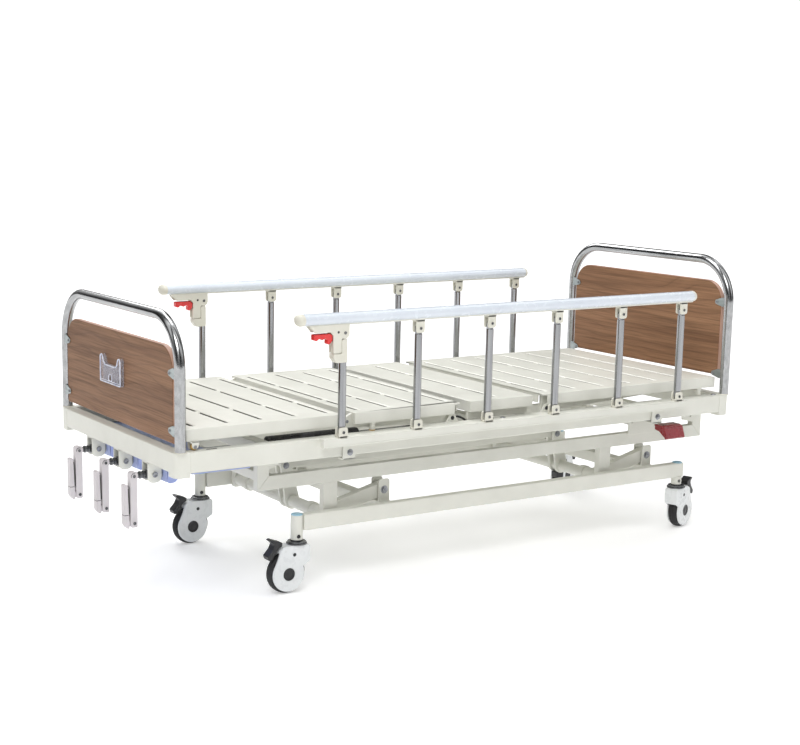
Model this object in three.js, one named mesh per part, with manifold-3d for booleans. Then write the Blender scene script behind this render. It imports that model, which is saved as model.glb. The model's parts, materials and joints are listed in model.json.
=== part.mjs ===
// Adjustable hospital bed: three cranks, a lifting base on four casters, a four-section deck,
// two folding side rails and a tube-and-panel board at each end.
// Millimetres. +X points to the head end, -Y to the side with the release pedal, +Z up.
// The origin is on the floor, under the middle of the bed's outer box.
import * as THREE from 'three';
import { mergeVertices } from 'three/addons/utils/BufferGeometryUtils.js';
import Module from 'manifold-3d';

const wasm = await Module();
wasm.setup();

// ---------------------------------------------------------------- driving dimensions
// X values are measured from the middle of the main frame.
const FRAME = { half: 1065, halfWidth: 421, top: 485, bottom: 425, rail: 40, corner: 28,
  cast: 51.5, castBottom: 413 };
const CRANK_REACH = 66;                       // how far the folded cranks stand past the foot end
const CENTRE_SHIFT = CRANK_REACH / 2;         // puts the outer box's middle at X = 0
const GAP = 0.4;                              // clearance between touching pieces

const BASE = { half: 323, rail: 30, top: 237, bottom: 187, foot: -617, head: 931, footRail: -599, headRail: 950,
  crossHalf: 20, crossBottom: 192, crossTop: 230 };
const SOCKET = { radius: 21, bottom: 160, headRadius: 18 };
const CASTER = { radius: 62.5, width: 30, trail: 38, sides: 24, coverHalf: 24, slotHalf: 17, top: 148, headTurn: 200 };
const LIFT = { towerFoot: -273.6, towerHead: 826.4, towerZ: 266, reach: 218.4, drop: 54,
  arm: [241, 269], tower: [232, 238, 272, 278], tube: 19, leverLean: 25, leverRise: 118, linkY: -60 };
const SUB = { inner: 275, outer: 300, top: 360, bottom: 317, foot: -740, head: 1057, post: 50, postBottom: 185 };
const BOARD = { x: 1046, half: 412, tube: 16, bend: 145, panelHalf: 385, panel: 9,
  foot: { top: 861, panelBottom: 507, panelTop: 780, clips: [544, 707] },
  head: { top: 946, panelBottom: 550, panelTop: 875, clips: [556, 805] } };
const DECK = { half: 394, top: 546, edge: 511, sheet: 3, slot: 12, slotHalf: 352,
  member: [366, 376], outerMember: [378, 384] };
const SECTIONS = {
  calf: { from: -1019, to: -505 },
  thigh: { from: -460, to: -72 },
  seat: { from: -32, to: 215 },
  back: { from: 254, to: 1020 } };
const PIVOT = { thighX: -97, backX: 278, z: 498, calfX: -482, calfZ: 520, cornerRelief: 20 };
const ROLLER = { x: -995, z: 495.5, radius: 10, y: [387, 399], plate: [380, 384.5] };
const PEG = { radius: 8, y: 384, thigh: -392, back: 952 };
const RAIL = { y: 452, first: -543, pitch: 266, posts: 6, low: 506, high: 798, post: 12, tongue: 6, ear: [6.6, 11],
  hooks: [-499, 725],
  bottom: [463, 490], from: -609, to: 828, topCentre: 842, topHalf: [23, 17], topFrom: -702, topTo: 838 };
const CRANK = { ys: [205, 0, -205], z: 385, armX: -1100, arm: 140, half: [11, 12], grip: [8, 11], gripLength: 131,
  slot: 7.8 };
const GRIP_X = -FRAME.half - CRANK_REACH + CRANK.grip[0];

const COLOURS = {
  cream: [0xe9e8df, 0.45, 0.1], chrome: [0xb9bbbd, 0.15, 1], wood: [0x8a6248, 0.5, 0], rubber: [0x1c1d1e, 0.8, 0],
  cover: [0xdfe2e2, 0.4, 0], black: [0x17181a, 0.5, 0], red: [0xd8231f, 0.35, 0], darkRed: [0xb01430, 0.35, 0],
  grip: [0xbdb5ba, 0.4, 0.3], blue: [0xa3b0de, 0.4, 0], ice: [0xe0e7f2, 0.3, 0.2], clear: [0xdfe6ea, 0.1, 0],
  ochre: [0xb98d3a, 0.5, 0], steel: [0x9a9da0, 0.3, 0.9] };

// ---------------------------------------------------------------- solids and helpers
function toSolid(geometry) {
  const bare = geometry.index ? geometry.toNonIndexed() : geometry;
  bare.deleteAttribute('normal');
  bare.deleteAttribute('uv');
  const merged = mergeVertices(bare, 1e-4);
  return new wasm.Manifold(new wasm.Mesh({
    numProp: 3,
    vertProperties: Float32Array.from(merged.attributes.position.array),
    triVerts: Uint32Array.from(merged.index.array) }));
}

function toGeometry(solid) {
  const mesh = solid.getMesh();
  const geometry = new THREE.BufferGeometry();
  geometry.setAttribute('position', new THREE.BufferAttribute(Float32Array.from(mesh.vertProperties), 3));
  geometry.setIndex(new THREE.BufferAttribute(Uint32Array.from(mesh.triVerts), 1));
  geometry.computeVertexNormals();
  return geometry;
}

const join = (...solids) => solids.flat().reduce((whole, next) => whole.add(next));
const cut = (solid, ...tools) => tools.flat().reduce((rest, tool) => rest.subtract(tool), solid);

function box(x0, x1, y0, y1, z0, z1) {
  const geometry = new THREE.BoxGeometry(Math.abs(x1 - x0), Math.abs(y1 - y0), Math.abs(z1 - z0));
  geometry.translate((x0 + x1) / 2, (y0 + y1) / 2, (z0 + z1) / 2);
  return toSolid(geometry);
}

// A round bar along 'x', 'y' or 'z' from a to b. Its centre is at u and v on the other two axes, in X, Y, Z order.
function rod(axis, radius, a, b, u, v, sides = 12) {
  const geometry = new THREE.CylinderGeometry(radius, radius, Math.abs(b - a), sides);
  geometry.rotateY(Math.PI / sides);
  const middle = (a + b) / 2;
  if (axis === 'x') geometry.rotateZ(Math.PI / 2).translate(middle, u, v);
  if (axis === 'y') geometry.translate(u, middle, v);
  if (axis === 'z') geometry.rotateX(Math.PI / 2).translate(u, v, middle);
  return toSolid(geometry);
}

// A flat outline, given as a Shape or as a list of corners, with a thickness.
function extrude(shape, depth, curveSegments) {
  const outline = Array.isArray(shape) ? new THREE.Shape(shape.map((corner) => new THREE.Vector2(...corner))) : shape;
  return new THREE.ExtrudeGeometry(outline, { depth, bevelEnabled: false, curveSegments });
}

// A flat outline in X and Z, [x, z] corners, extruded from y0 to y1.
function plateXZ(shape, y0, y1, segments = 6) {
  const geometry = extrude(shape, Math.abs(y1 - y0), segments);
  geometry.rotateX(Math.PI / 2);
  geometry.translate(0, Math.max(y0, y1), 0);
  return toSolid(geometry);
}

// A flat outline in Y and Z extruded from x0 to x1.
function plateYZ(shape, x0, x1, segments = 6) {
  const geometry = extrude(shape, Math.abs(x1 - x0), segments);
  geometry.rotateX(Math.PI / 2).rotateZ(Math.PI / 2);
  geometry.translate(Math.min(x0, x1), 0, 0);
  return toSolid(geometry);
}

// A straight link with round ends: centres a and b as [x, z], end radii ra and rb.
function linkXZ(a, b, ra, rb, y0, y1) {
  const along = Math.atan2(b[1] - a[1], b[0] - a[0]);
  const shape = new THREE.Shape();
  shape.absarc(a[0], a[1], ra, along + Math.PI / 2, along + 3 * Math.PI / 2);
  shape.absarc(b[0], b[1], rb, along - Math.PI / 2, along + Math.PI / 2);
  return plateXZ(shape, y0, y1, 3);
}

// A round tube along a list of curves.
function tubeAlong(curves, radius, steps) {
  const path = new THREE.CurvePath();
  curves.forEach((curve) => path.add(curve));
  const section = new THREE.Shape();
  section.absarc(0, 0, radius, 0, 2 * Math.PI);
  const options = { steps, extrudePath: path, curveSegments: 5, bevelEnabled: false };
  return toSolid(new THREE.ExtrudeGeometry(section, options));
}

const group = new THREE.Group();
const bed = new THREE.Group();
bed.position.x = CENTRE_SHIFT;
group.add(bed);

function add(name, solid, colour, parent = bed) {
  const [hex, roughness, metalness] = COLOURS[colour];
  const material = new THREE.MeshStandardMaterial({ color: hex, roughness, metalness });
  const mesh = new THREE.Mesh(toGeometry(solid), material);
  mesh.name = name;
  parent.add(mesh);
  return mesh;
}

const SIDES = [['near', -1], ['far', 1]];
const bothSides = (make) => SIDES.map(([, side]) => make(side));
const mirrorY = (side, a, b) => (side > 0 ? [a, b] : [-b, -a]);

// ---------------------------------------------------------------- base frame and casters
function baseFrame() {
  const rails = bothSides((side) => {
    const [y0, y1] = mirrorY(side, BASE.half - BASE.rail / 2, BASE.half + BASE.rail / 2);
    return join(
      box(BASE.footRail, BASE.headRail, y0, y1, BASE.bottom, BASE.top),
      rod('z', SOCKET.radius, SOCKET.bottom, BASE.top, BASE.foot, side * BASE.half),
      rod('z', SOCKET.headRadius, SOCKET.bottom, BASE.bottom + 1, BASE.head, side * BASE.half));
  });
  const crossTubes = [LIFT.towerFoot, LIFT.towerHead].map((x) =>
    box(x - BASE.crossHalf, x + BASE.crossHalf, -BASE.half, BASE.half, BASE.crossBottom, BASE.crossTop));
  const towers = [LIFT.towerFoot, LIFT.towerHead].flatMap((x) => SIDES.flatMap(([, side]) => {
    const [a, b, c, d] = LIFT.tower;
    return [[a, b], [c, d]].map(([from, to]) => {
      const [y0, y1] = mirrorY(side, from, to);
      return plateXZ([[x - 20, 228], [x + 20, 228], [x + 20, 292], [x + 12, 300], [x - 12, 300], [x - 20, 292]],
        y0, y1);
    });
  }));
  return join(rails, crossTubes, towers);
}

// Caster pieces stand around the swivel axis, with the wheel trailing towards -X.
function casterHousing() {
  const disc = rod('y', 54, -CASTER.coverHalf, CASTER.coverHalf, -CASTER.trail, 61, 20);
  const body = plateXZ([[36, 92], [36, CASTER.top - 6], [28, CASTER.top], [-50, CASTER.top], [-66, 138],
    [-70, 118], [-88, 80], [-38, 30], [16, 48]], -CASTER.coverHalf, CASTER.coverHalf);
  const wheelSlot = box(-120, 28, -CASTER.slotHalf, CASTER.slotHalf, -10, 129);
  const stem = rod('z', 22, CASTER.top - 2, SOCKET.bottom - GAP, 0, 0);
  return join(cut(join(disc, body), wheelSlot), stem);
}

function casterWheel() {
  // Flats at the stated radius, so that one flat rests on the floor.
  const corner = CASTER.radius / Math.cos(Math.PI / CASTER.sides);
  const half = CASTER.width / 2;
  const profile = [[0, -half], [corner - 7, -half], [corner, -half + 6],
    [corner, half - 6], [corner - 7, half], [0, half]];
  const geometry = new THREE.LatheGeometry(profile.map(([r, y]) => new THREE.Vector2(r, y)), CASTER.sides);
  geometry.rotateY(Math.PI / CASTER.sides);
  geometry.translate(-CASTER.trail, 0, CASTER.radius);
  return toSolid(geometry);
}

function casterPedal() {
  const outline = [[-71, 146], [-60, 150], [-57, 160], [-92, 172], [-98, 168], [-84, 156], [-92, 140],
    [-108, 120], [-103, 108], [-92, 110], [-80, 132]];
  return plateXZ(outline, -16, 16);
}

function addCaster(name, x, y, degrees) {
  const swivel = new THREE.Group();
  swivel.position.set(x, y, 0);
  swivel.rotation.z = THREE.MathUtils.degToRad(degrees);
  bed.add(swivel);
  add(`caster_housing_${name}`, casterHousing(), 'cover', swivel);
  add(`caster_wheel_${name}`, casterWheel(), 'rubber', swivel);
  add(`caster_brake_pedal_${name}`, casterPedal(), 'black', swivel);
}

add('base_frame', baseFrame(), 'cream');
addCaster('foot_near', BASE.foot, -BASE.half, 0);
addCaster('foot_far', BASE.foot, BASE.half, 0);
addCaster('head_near', BASE.head, -BASE.half, CASTER.headTurn);
addCaster('head_far', BASE.head, BASE.half, CASTER.headTurn);

// ---------------------------------------------------------------- lift linkage
function liftArm(towerX) {
  const pivot = [towerX, LIFT.towerZ];
  const torque = [towerX - LIFT.reach, LIFT.towerZ - LIFT.drop];
  const tube = rod('y', LIFT.tube, -SUB.inner + 1, SUB.inner - 1, torque[0], torque[1]);
  const arms = bothSides((side) => linkXZ(torque, pivot, 22, 22, ...mirrorY(side, ...LIFT.arm)));
  const collars = bothSides((side) => rod('y', 25, ...mirrorY(side, 192, 245), torque[0], torque[1]));
  const top = [torque[0] - LIFT.leverLean, torque[1] + LIFT.leverRise];
  const levers = [12, -22].map((offset) =>
    linkXZ(torque, top, 26, 18, LIFT.linkY + offset, LIFT.linkY + offset + 10));
  return join(tube, arms, collars, levers);
}

function liftLink() {
  const z = LIFT.towerZ - LIFT.drop + LIFT.leverRise;
  const foot = LIFT.towerFoot - LIFT.reach - LIFT.leverLean;
  const head = LIFT.towerHead - LIFT.reach - LIFT.leverLean;
  return linkXZ([foot, z], [head, z], 13, 13, LIFT.linkY - 8, LIFT.linkY + 8);
}

add('lift_arm_foot', liftArm(LIFT.towerFoot), 'cream');
add('lift_arm_head', liftArm(LIFT.towerHead), 'cream');
add('lift_link_rod', liftLink(), 'cream');

// ---------------------------------------------------------------- sub-frame
function liftSubframe() {
  const sides = bothSides((side) => {
    const [y0, y1] = mirrorY(side, SUB.inner, SUB.outer);
    const riser = 40;
    const outline = [[SUB.foot, FRAME.bottom - GAP], [SUB.foot, SUB.bottom], [SUB.head, SUB.bottom],
      [SUB.head, FRAME.bottom - GAP], [SUB.head - riser, FRAME.bottom - GAP], [SUB.head - riser, SUB.top],
      [SUB.foot + riser, SUB.top], [SUB.foot + riser, FRAME.bottom - GAP]];
    const posts = [LIFT.towerFoot, LIFT.towerHead].map((x) => {
      const left = x - LIFT.reach - 18;
      return box(left, left + SUB.post, y0, y1, SUB.postBottom, SUB.bottom + 1);
    });
    return join(plateXZ(outline, y0, y1), posts);
  });
  const crossTubes = [SUB.foot + 50, SUB.head - 110].map((x) =>
    box(x, x + 30, -SUB.inner - 1, SUB.inner + 1, 322, 352));
  return join(sides, crossTubes);
}

add('lift_subframe', liftSubframe(), 'cream');

// ---------------------------------------------------------------- main frame
// The rails with their corner castings, which reach lower than the rails.
function roundedRing() {
  const { half, halfWidth, rail, corner } = FRAME;
  const shape = new THREE.Shape();
  shape.absarc(half - corner, halfWidth - corner, corner, 0, Math.PI / 2);
  shape.absarc(-half + corner, halfWidth - corner, corner, Math.PI / 2, Math.PI);
  shape.absarc(-half + corner, -halfWidth + corner, corner, Math.PI, 1.5 * Math.PI);
  shape.absarc(half - corner, -halfWidth + corner, corner, 1.5 * Math.PI, 2 * Math.PI);
  const hole = new THREE.Path([
    [half - rail, halfWidth - rail], [-half + rail, halfWidth - rail],
    [-half + rail, -halfWidth + rail], [half - rail, -halfWidth + rail]].map(([x, y]) => new THREE.Vector2(x, y)));
  shape.holes.push(hole);
  const { top, bottom, cast, castBottom } = FRAME;
  const ring = extrude(shape, top - castBottom, 5);
  ring.translate(0, 0, castBottom);
  return cut(toSolid(ring),
    box(-half + cast, half - cast, -halfWidth - 1, halfWidth + 1, castBottom - 1, bottom),
    box(-half - 1, half + 1, -halfWidth + cast, halfWidth - cast, castBottom - 1, bottom));
}

function mainFrame() {
  const inner = FRAME.halfWidth - FRAME.rail + 1;
  const crossMembers = [[-740, -700, 425, 465], [-115, -82, 430, 470], [20, 50, 455, 484.6], [170, 200, 455, 484.6],
    [700, 735, 430, 470]].map(([x0, x1, z0, z1]) => box(x0, x1, -inner, inner, z0, z1));
  const yokes = CRANK.ys.flatMap((y) => [-1, 1].map((side) =>
    plateXZ([[-1058, 427], [-1058, 372], [-1048, 362], [-1028, 362], [-1018, 372], [-1018, 427]],
      ...mirrorY(side, 17, 21).map((offset) => y + offset))));
  const yokeTops = CRANK.ys.map((y) => box(-1058, -1018, y - 21, y + 21, 417, 427));
  const brackets = SIDES.flatMap(([, side]) => [PIVOT.thighX, PIVOT.backX].map((x) =>
    plateXZ([[x - 24, 484], [x + 24, 484], [x + 14, 510], [x - 14, 510]], ...mirrorY(side, 382, 388))));
  return join(roundedRing(), crossMembers, yokes, yokeTops, brackets);
}

add('main_frame', mainFrame(), 'cream');
add('crank_tray', join(box(-1012, -827, -417, 417, 421, 424.6), box(-830, -827, -370, 370, 418, 424.6)), 'blue');

// ---------------------------------------------------------------- boards at both ends
function boardTube(x, spec, outward) {
  const { half, bend, tube } = BOARD;
  const at = (y, z) => new THREE.Vector3(x, y, z);
  const centre = spec.top - bend;
  const arc = (cy, from, to) => {
    const corner = (angle) => at(cy + bend * Math.cos(angle), centre + bend * Math.sin(angle));
    const middle = (from + to) / 2;
    const pull = bend / Math.cos((to - from) / 2);
    const control = at(cy + pull * Math.cos(middle), centre + pull * Math.sin(middle));
    return new THREE.QuadraticBezierCurve3(corner(from), control, corner(to));
  };
  const loop = tubeAlong([
    new THREE.LineCurve3(at(half, FRAME.top + GAP), at(half, centre)),
    arc(half - bend, 0, Math.PI / 2),
    new THREE.LineCurve3(at(half - bend, spec.top), at(-half + bend, spec.top)),
    arc(-half + bend, Math.PI / 2, Math.PI),
    new THREE.LineCurve3(at(-half, centre), at(-half, FRAME.top + GAP))], tube, 38);
  const face = x + outward * (BOARD.panel + GAP);
  const clips = SIDES.flatMap(([, side]) => spec.clips.map((z) =>
    box(face, face + outward * 3, ...mirrorY(side, 366, 402), z - 13, z + 13)));
  return join(loop, clips);
}

function boardPanel(x, spec) {
  const { panelHalf, panel } = BOARD;
  const radius = 75;
  const shape = new THREE.Shape();
  shape.moveTo(-panelHalf, spec.panelBottom);
  shape.lineTo(panelHalf, spec.panelBottom);
  shape.absarc(panelHalf - radius, spec.panelTop - radius, radius, 0, Math.PI / 2);
  shape.absarc(-panelHalf + radius, spec.panelTop - radius, radius, Math.PI / 2, Math.PI);
  return plateYZ(shape, x - panel, x + panel, 8);
}

// A clear holder for a card: back plate, floor and a front plate with a wide notch.
function chartHolder() {
  const back = -BOARD.x - BOARD.panel - GAP;
  const profile = [[back, 700], [back - 3, 700], [back - 3, 621], [back - 9, 621], [back - 9, 700],
    [back - 12, 700], [back - 12, 618], [back, 618]];
  const holder = plateXZ(profile, -55, 95);
  const notch = plateYZ([[-28, 710], [-20, 676], [60, 676], [68, 710]], back - 14, back - 8);
  return cut(holder, notch, rod('x', 8, back - 14, back - 8, 20, 638, 20));
}

add('footboard_tube', boardTube(-BOARD.x, BOARD.foot, -1), 'chrome');
add('footboard_panel', boardPanel(-BOARD.x, BOARD.foot), 'wood');
add('headboard_tube', boardTube(BOARD.x, BOARD.head, -1), 'chrome');
add('headboard_panel', boardPanel(BOARD.x, BOARD.head), 'wood');
add('chart_holder', chartHolder(), 'clear');

// ---------------------------------------------------------------- deck
// A pressed pan. The side flanges stop short of a pivot end by relief = [at from, at to], so that it can turn.
function deckPan({ from, to }, slots, relief = [0, 0]) {
  const { half, top, edge, sheet, slot, slotHalf } = DECK;
  const plate = box(from, to, -half, half, top - sheet, top);
  const endHalf = relief.map((length) => (length ? slotHalf + 20 : half));
  const flanges = [
    ...bothSides((side) => box(from + relief[0], to - relief[1], ...mirrorY(side, half - sheet, half), edge, top - 1)),
    box(from, from + sheet, -endHalf[0], endHalf[0], edge + 8, top - 1),
    box(to - sheet, to, -endHalf[1], endHalf[1], edge + 8, top - 1)];
  const stiffeners = [-150, 150].map((y) => box(from + 1, to - 1, y - 12, y + 12, edge + 8, top - 1));
  const openings = slots.map((x) => box(x - slot / 2, x + slot / 2, -slotHalf, slotHalf, top - sheet - 1, top + 1));
  return join(cut(join(plate, flanges), openings), stiffeners);
}

// The first slot's distance from the section's foot-side end, then a constant pitch.
const slotsAlong = ({ from }, count, first, pitch) =>
  Array.from({ length: count }, (_, i) => from + first + i * pitch);

// A peg at each side of a section, standing on the main frame.
const pegs = (x) => bothSides((side) => rod('z', PEG.radius, FRAME.top + GAP, DECK.top - 1, x, side * PEG.y));

// Side members under a section: outline corners in X and Z, between two offsets from the centre line.
const members = (outline, band = DECK.member) => bothSides((side) => plateXZ(outline, ...mirrorY(side, ...band)));

function seatSection() {
  const { from, to } = SECTIONS.seat;
  return join(deckPan(SECTIONS.seat, slotsAlong(SECTIONS.seat, 1, 124, 0)),
    members([[from + 2, 485], [to - 10, 485], [to - 10, 544], [from + 2, 544]]));
}

function backSection() {
  const ear = PIVOT.backX;
  return join(deckPan(SECTIONS.back, slotsAlong(SECTIONS.back, 6, 46, 119.5), [PIVOT.cornerRelief, 0]), pegs(PEG.back),
    members([[ear - 14, 488], [ear - 6, 483], [ear + 8, 483], [600, 500], [990, 520], [990, 544], [ear - 14, 544]]));
}

function thighSection() {
  const ear = PIVOT.thighX;
  return join(deckPan(SECTIONS.thigh, slotsAlong(SECTIONS.thigh, 4, 36, 108), [0, PIVOT.cornerRelief]), pegs(PEG.thigh),
    members([[ear + 14, 488], [ear + 6, 483], [ear - 8, 483], [SECTIONS.thigh.from + 20, 496],
      [PIVOT.calfX + 4, 509], [PIVOT.calfX - 10, 514], [PIVOT.calfX - 12, 526], [PIVOT.calfX, 532],
      [SECTIONS.thigh.from + 2, 544], [ear + 14, 544]]));
}

function calfSection() {
  const { to } = SECTIONS.calf;
  const hinge = members([[to + 30, 512], [to + 33, 524], [to + 22, 532], [to - 2, 544], [to - 60, 544],
    [to - 60, 516], [to, 508]], DECK.outerMember);
  const rollerPlates = members([[ROLLER.x - 14, 544], [ROLLER.x - 14, 490], [ROLLER.x + 14, 490],
    [ROLLER.x + 22, 544]], ROLLER.plate);
  return join(deckPan(SECTIONS.calf, slotsAlong(SECTIONS.calf, 5, 43, 111.5)), hinge, rollerPlates);
}

add('seat_section', seatSection(), 'cream');
add('back_section', backSection(), 'cream');
add('thigh_section', thighSection(), 'cream');
add('calf_section', calfSection(), 'cream');
SIDES.forEach(([name, side]) => {
  add(`calf_roller_${name}`, rod('y', ROLLER.radius, ...mirrorY(side, ...ROLLER.y), ROLLER.x, ROLLER.z, 16), 'ochre');
});

// ---------------------------------------------------------------- folding side rails
const postX = (index) => RAIL.first + index * RAIL.pitch;
const postIndices = Array.from({ length: RAIL.posts }, (_, i) => i);

// Pairs of ears that hold a post's flat tongue. up is 1 on the bottom rail and -1 under the top rail.
function ears(x, y, pivot, base, up) {
  const outline = [[x - 14, base], [x + 14, base], [x + 14, pivot + up * 5], [x + 9, pivot + up * 13],
    [x - 9, pivot + up * 13], [x - 14, pivot + up * 5]];
  return [-1, 1].map((side) => plateXZ(up > 0 ? outline : outline.toReversed(),
    ...mirrorY(side, ...RAIL.ear).map((offset) => y + offset)));
}

function bottomRail(side) {
  const y = side * RAIL.y;
  const [z0, z1] = RAIL.bottom;
  const beam = box(RAIL.from, RAIL.to, y - 11, y + 11, z0, z1);
  const outer = FRAME.halfWidth + 2;
  const hooks = RAIL.hooks.flatMap((x) => [
    box(x - 22, x + 22, ...mirrorY(side, outer, outer + 5), 414, z0 + 8),
    box(x - 22, x + 22, ...mirrorY(side, outer, RAIL.y), z0 + 1, z0 + 9),
    box(x - 22, x + 22, ...mirrorY(side, outer - 22, outer + 5), 414, 419)]);
  const clevises = postIndices.flatMap((i) => ears(postX(i), y, RAIL.low, z1 - 2, 1));
  return join(beam, hooks, clevises);
}

function railPost(index, side) {
  const x = postX(index);
  const y = side * RAIL.y;
  const middle = [x, (RAIL.low + RAIL.high) / 2];
  const tongue = (pivot) => linkXZ([x, pivot], middle, 10, 9, y - RAIL.tongue, y + RAIL.tongue);
  return join(rod('z', RAIL.post, RAIL.low + 18, RAIL.high - 18, x, y, 12), tongue(RAIL.low), tongue(RAIL.high));
}

function topRail(side) {
  const y = side * RAIL.y;
  const [halfY, halfZ] = RAIL.topHalf;
  const section = new THREE.Shape();
  section.absellipse(y, RAIL.topCentre, halfY, halfZ, 0, 2 * Math.PI);
  const beam = plateYZ(section, RAIL.topFrom, RAIL.topTo, 7);
  const clevises = postIndices.flatMap((i) => ears(postX(i), y, RAIL.high, RAIL.topCentre - 10, -1));
  const housing = plateXZ([[-664, 832], [-650, 813], [-612, 811], [-606, 800], [-578, 800], [-570, 812], [-566, 832]],
    y - 14, y + 14);
  const cheeks = [-1, 1].map((edge) => plateXZ([[-595, 815], [-594, 778], [-588, 770], [-578, 772], [-576, 815]],
    ...mirrorY(edge, 10.5, 14).map((offset) => y + offset)));
  return join(cut(join(beam, housing), box(-620, -574, y - 10.5, y + 10.5, 760, 813)), clevises, cheeks);
}

function releaseLever(side) {
  const y = side * RAIL.y;
  return plateXZ([[-645, 799], [-645, 783], [-636, 781], [-626, 786], [-616, 782], [-607, 785], [-602, 771],
    [-595, 769], [-589, 773], [-583, 780], [-583, 794], [-590, 800]], y - 9.5, y + 9.5);
}

SIDES.forEach(([name, side]) => {
  add(`side_rail_bottom_${name}`, bottomRail(side), 'cream');
  postIndices.forEach((i) => add(`side_rail_post_${i + 1}_${name}`, railPost(i, side), 'chrome'));
  add(`side_rail_top_${name}`, topRail(side), 'ice');
  add(`release_lever_${name}`, releaseLever(side), 'red');
});

// ---------------------------------------------------------------- cranks and drives
function crankArm(y) {
  const { z, armX, arm, slot, half: [halfX, halfY] } = CRANK;
  const hub = rod('x', 11, armX - 9, armX + 14, y, z);
  const shaft = rod('x', 8, armX, -1018, y, z);
  const joint = rod('x', 11, -1080, -1062, y, z);
  const end = z - arm - 13;
  const blade = plateXZ([[armX - halfX, z + 3], [armX - halfX, end], [armX + halfX, end], [armX + halfX, z + 3],
    [armX + 6, z + 12], [armX - 6, z + 12]], y - halfY, y + halfY);
  const fork = box(armX - 15, armX + 15, y - slot, y + slot, end - 5, z - arm + 16);
  // Room for the grip as it swings round the pin.
  const bevel = plateXZ([[armX - 12, z - arm - 14], [armX - 6, z - arm - 14], [armX - 12, z - arm - 7]], y - 13, y + 13);
  return join(hub, shaft, joint, cut(blade, fork, bevel));
}

// The grip in its folded place beside the arm. Its eye sits in the arm's fork.
function crankGrip(y) {
  const pinZ = CRANK.z - CRANK.arm;
  const [halfX, halfY] = CRANK.grip;
  const handle = box(GRIP_X - halfX, GRIP_X + halfX, y - halfY, y + halfY, pinZ - 14, pinZ - 14 + CRANK.gripLength);
  const eye = linkXZ([GRIP_X, pinZ], [CRANK.armX, pinZ], 8, 8, y - 7, y + 7);
  return join(handle, eye);
}

['far', 'middle', 'near'].forEach((name, i) => {
  const y = CRANK.ys[i];
  add(`crank_arm_${name}`, crankArm(y), 'grip');
  add(`crank_grip_${name}`, crankGrip(y), 'grip');
});
['lift', 'knee', 'back'].forEach((name, i) => {
  const y = CRANK.ys[i];
  const reach = { lift: -560, knee: -150, back: 240 }[name];
  add(`${name}_drive_tube`, join(rod('x', 12, -1012, reach, y, CRANK.z), rod('x', 15, -1002, -960, y, CRANK.z)), 'steel');
});

// ---------------------------------------------------------------- emergency release of the back
const gasSpringY = -205;
add('gas_spring', join(
  rod('x', 20, -668, -330, gasSpringY, 440),
  rod('x', 7, -331, -115 - GAP, gasSpringY, 440, 12)), 'black');

function cprLever() {
  const outline = [[-388, 402], [-424, 402], [-436, 396], [-449, 362], [-446, 358], [-441, 359],
    [-430, 390], [-420, 396], [-388, 396]];
  return plateYZ(outline, 752, 836);
}

function cprCable() {
  const stops = [[751, -372, 414], [700, -374, 418], [600, -374, 420], [450, -374, 420], [300, -374, 420],
    [150, -374, 420], [80, -374, 422], [35, -373, 432], [4, -370, 450], [-20, -363, 474], [-42, -350, 490],
    [-58, -325, 488], [-64, -290, 474], [-66, -262, 460], [-73, -244, 452], [-80, -240, 450]];
  const curve = new THREE.CatmullRomCurve3(stops.map(([x, y, z]) => new THREE.Vector3(x, y, z)), false, 'centripetal');
  const section = new THREE.Shape();
  section.absarc(0, 0, 3.5, 0, 2 * Math.PI);
  const options = { steps: 44, extrudePath: curve, curveSegments: 4, bevelEnabled: false };
  return toSolid(new THREE.ExtrudeGeometry(section, options));
}

add('cpr_lever', cprLever(), 'darkRed');
add('cpr_cable', cprCable(), 'black');

export default group;
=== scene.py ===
"""Adjustable hospital bed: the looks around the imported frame."""

import json
import math

import bmesh
import bpy
from mathutils import Matrix, Vector, geometry

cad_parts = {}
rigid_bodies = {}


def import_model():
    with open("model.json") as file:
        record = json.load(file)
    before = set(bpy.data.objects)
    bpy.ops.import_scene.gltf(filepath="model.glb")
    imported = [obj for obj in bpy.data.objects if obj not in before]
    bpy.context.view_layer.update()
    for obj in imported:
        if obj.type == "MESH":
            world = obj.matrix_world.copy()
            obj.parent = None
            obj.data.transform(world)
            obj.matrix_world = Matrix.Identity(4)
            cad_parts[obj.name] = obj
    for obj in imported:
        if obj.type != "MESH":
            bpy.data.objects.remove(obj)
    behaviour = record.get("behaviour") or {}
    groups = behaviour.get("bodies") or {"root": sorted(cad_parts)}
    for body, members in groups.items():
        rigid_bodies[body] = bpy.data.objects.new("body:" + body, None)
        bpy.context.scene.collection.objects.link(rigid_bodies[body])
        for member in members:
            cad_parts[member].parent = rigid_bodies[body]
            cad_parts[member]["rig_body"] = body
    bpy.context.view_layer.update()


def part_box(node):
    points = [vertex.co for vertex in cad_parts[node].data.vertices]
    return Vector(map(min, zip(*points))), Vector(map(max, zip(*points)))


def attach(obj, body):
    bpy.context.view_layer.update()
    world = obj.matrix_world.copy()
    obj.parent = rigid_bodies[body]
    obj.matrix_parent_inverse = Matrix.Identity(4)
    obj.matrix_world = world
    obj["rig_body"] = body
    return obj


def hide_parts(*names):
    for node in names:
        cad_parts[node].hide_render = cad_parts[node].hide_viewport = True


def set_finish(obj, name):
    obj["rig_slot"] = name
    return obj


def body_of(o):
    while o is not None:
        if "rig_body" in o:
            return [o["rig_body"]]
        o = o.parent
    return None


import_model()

MM = 0.001
SMOOTH_ANGLE, SHARP_ANGLE = math.radians(42), math.radians(60)
SIDES = (("near", -1), ("far", 1))

# Shapes below are in millimetres. X is measured from the middle of the main frame.
FRAME_LOW, FRAME_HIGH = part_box("main_frame")
MID_X = (FRAME_LOW.x + FRAME_HIGH.x) / 2


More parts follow.
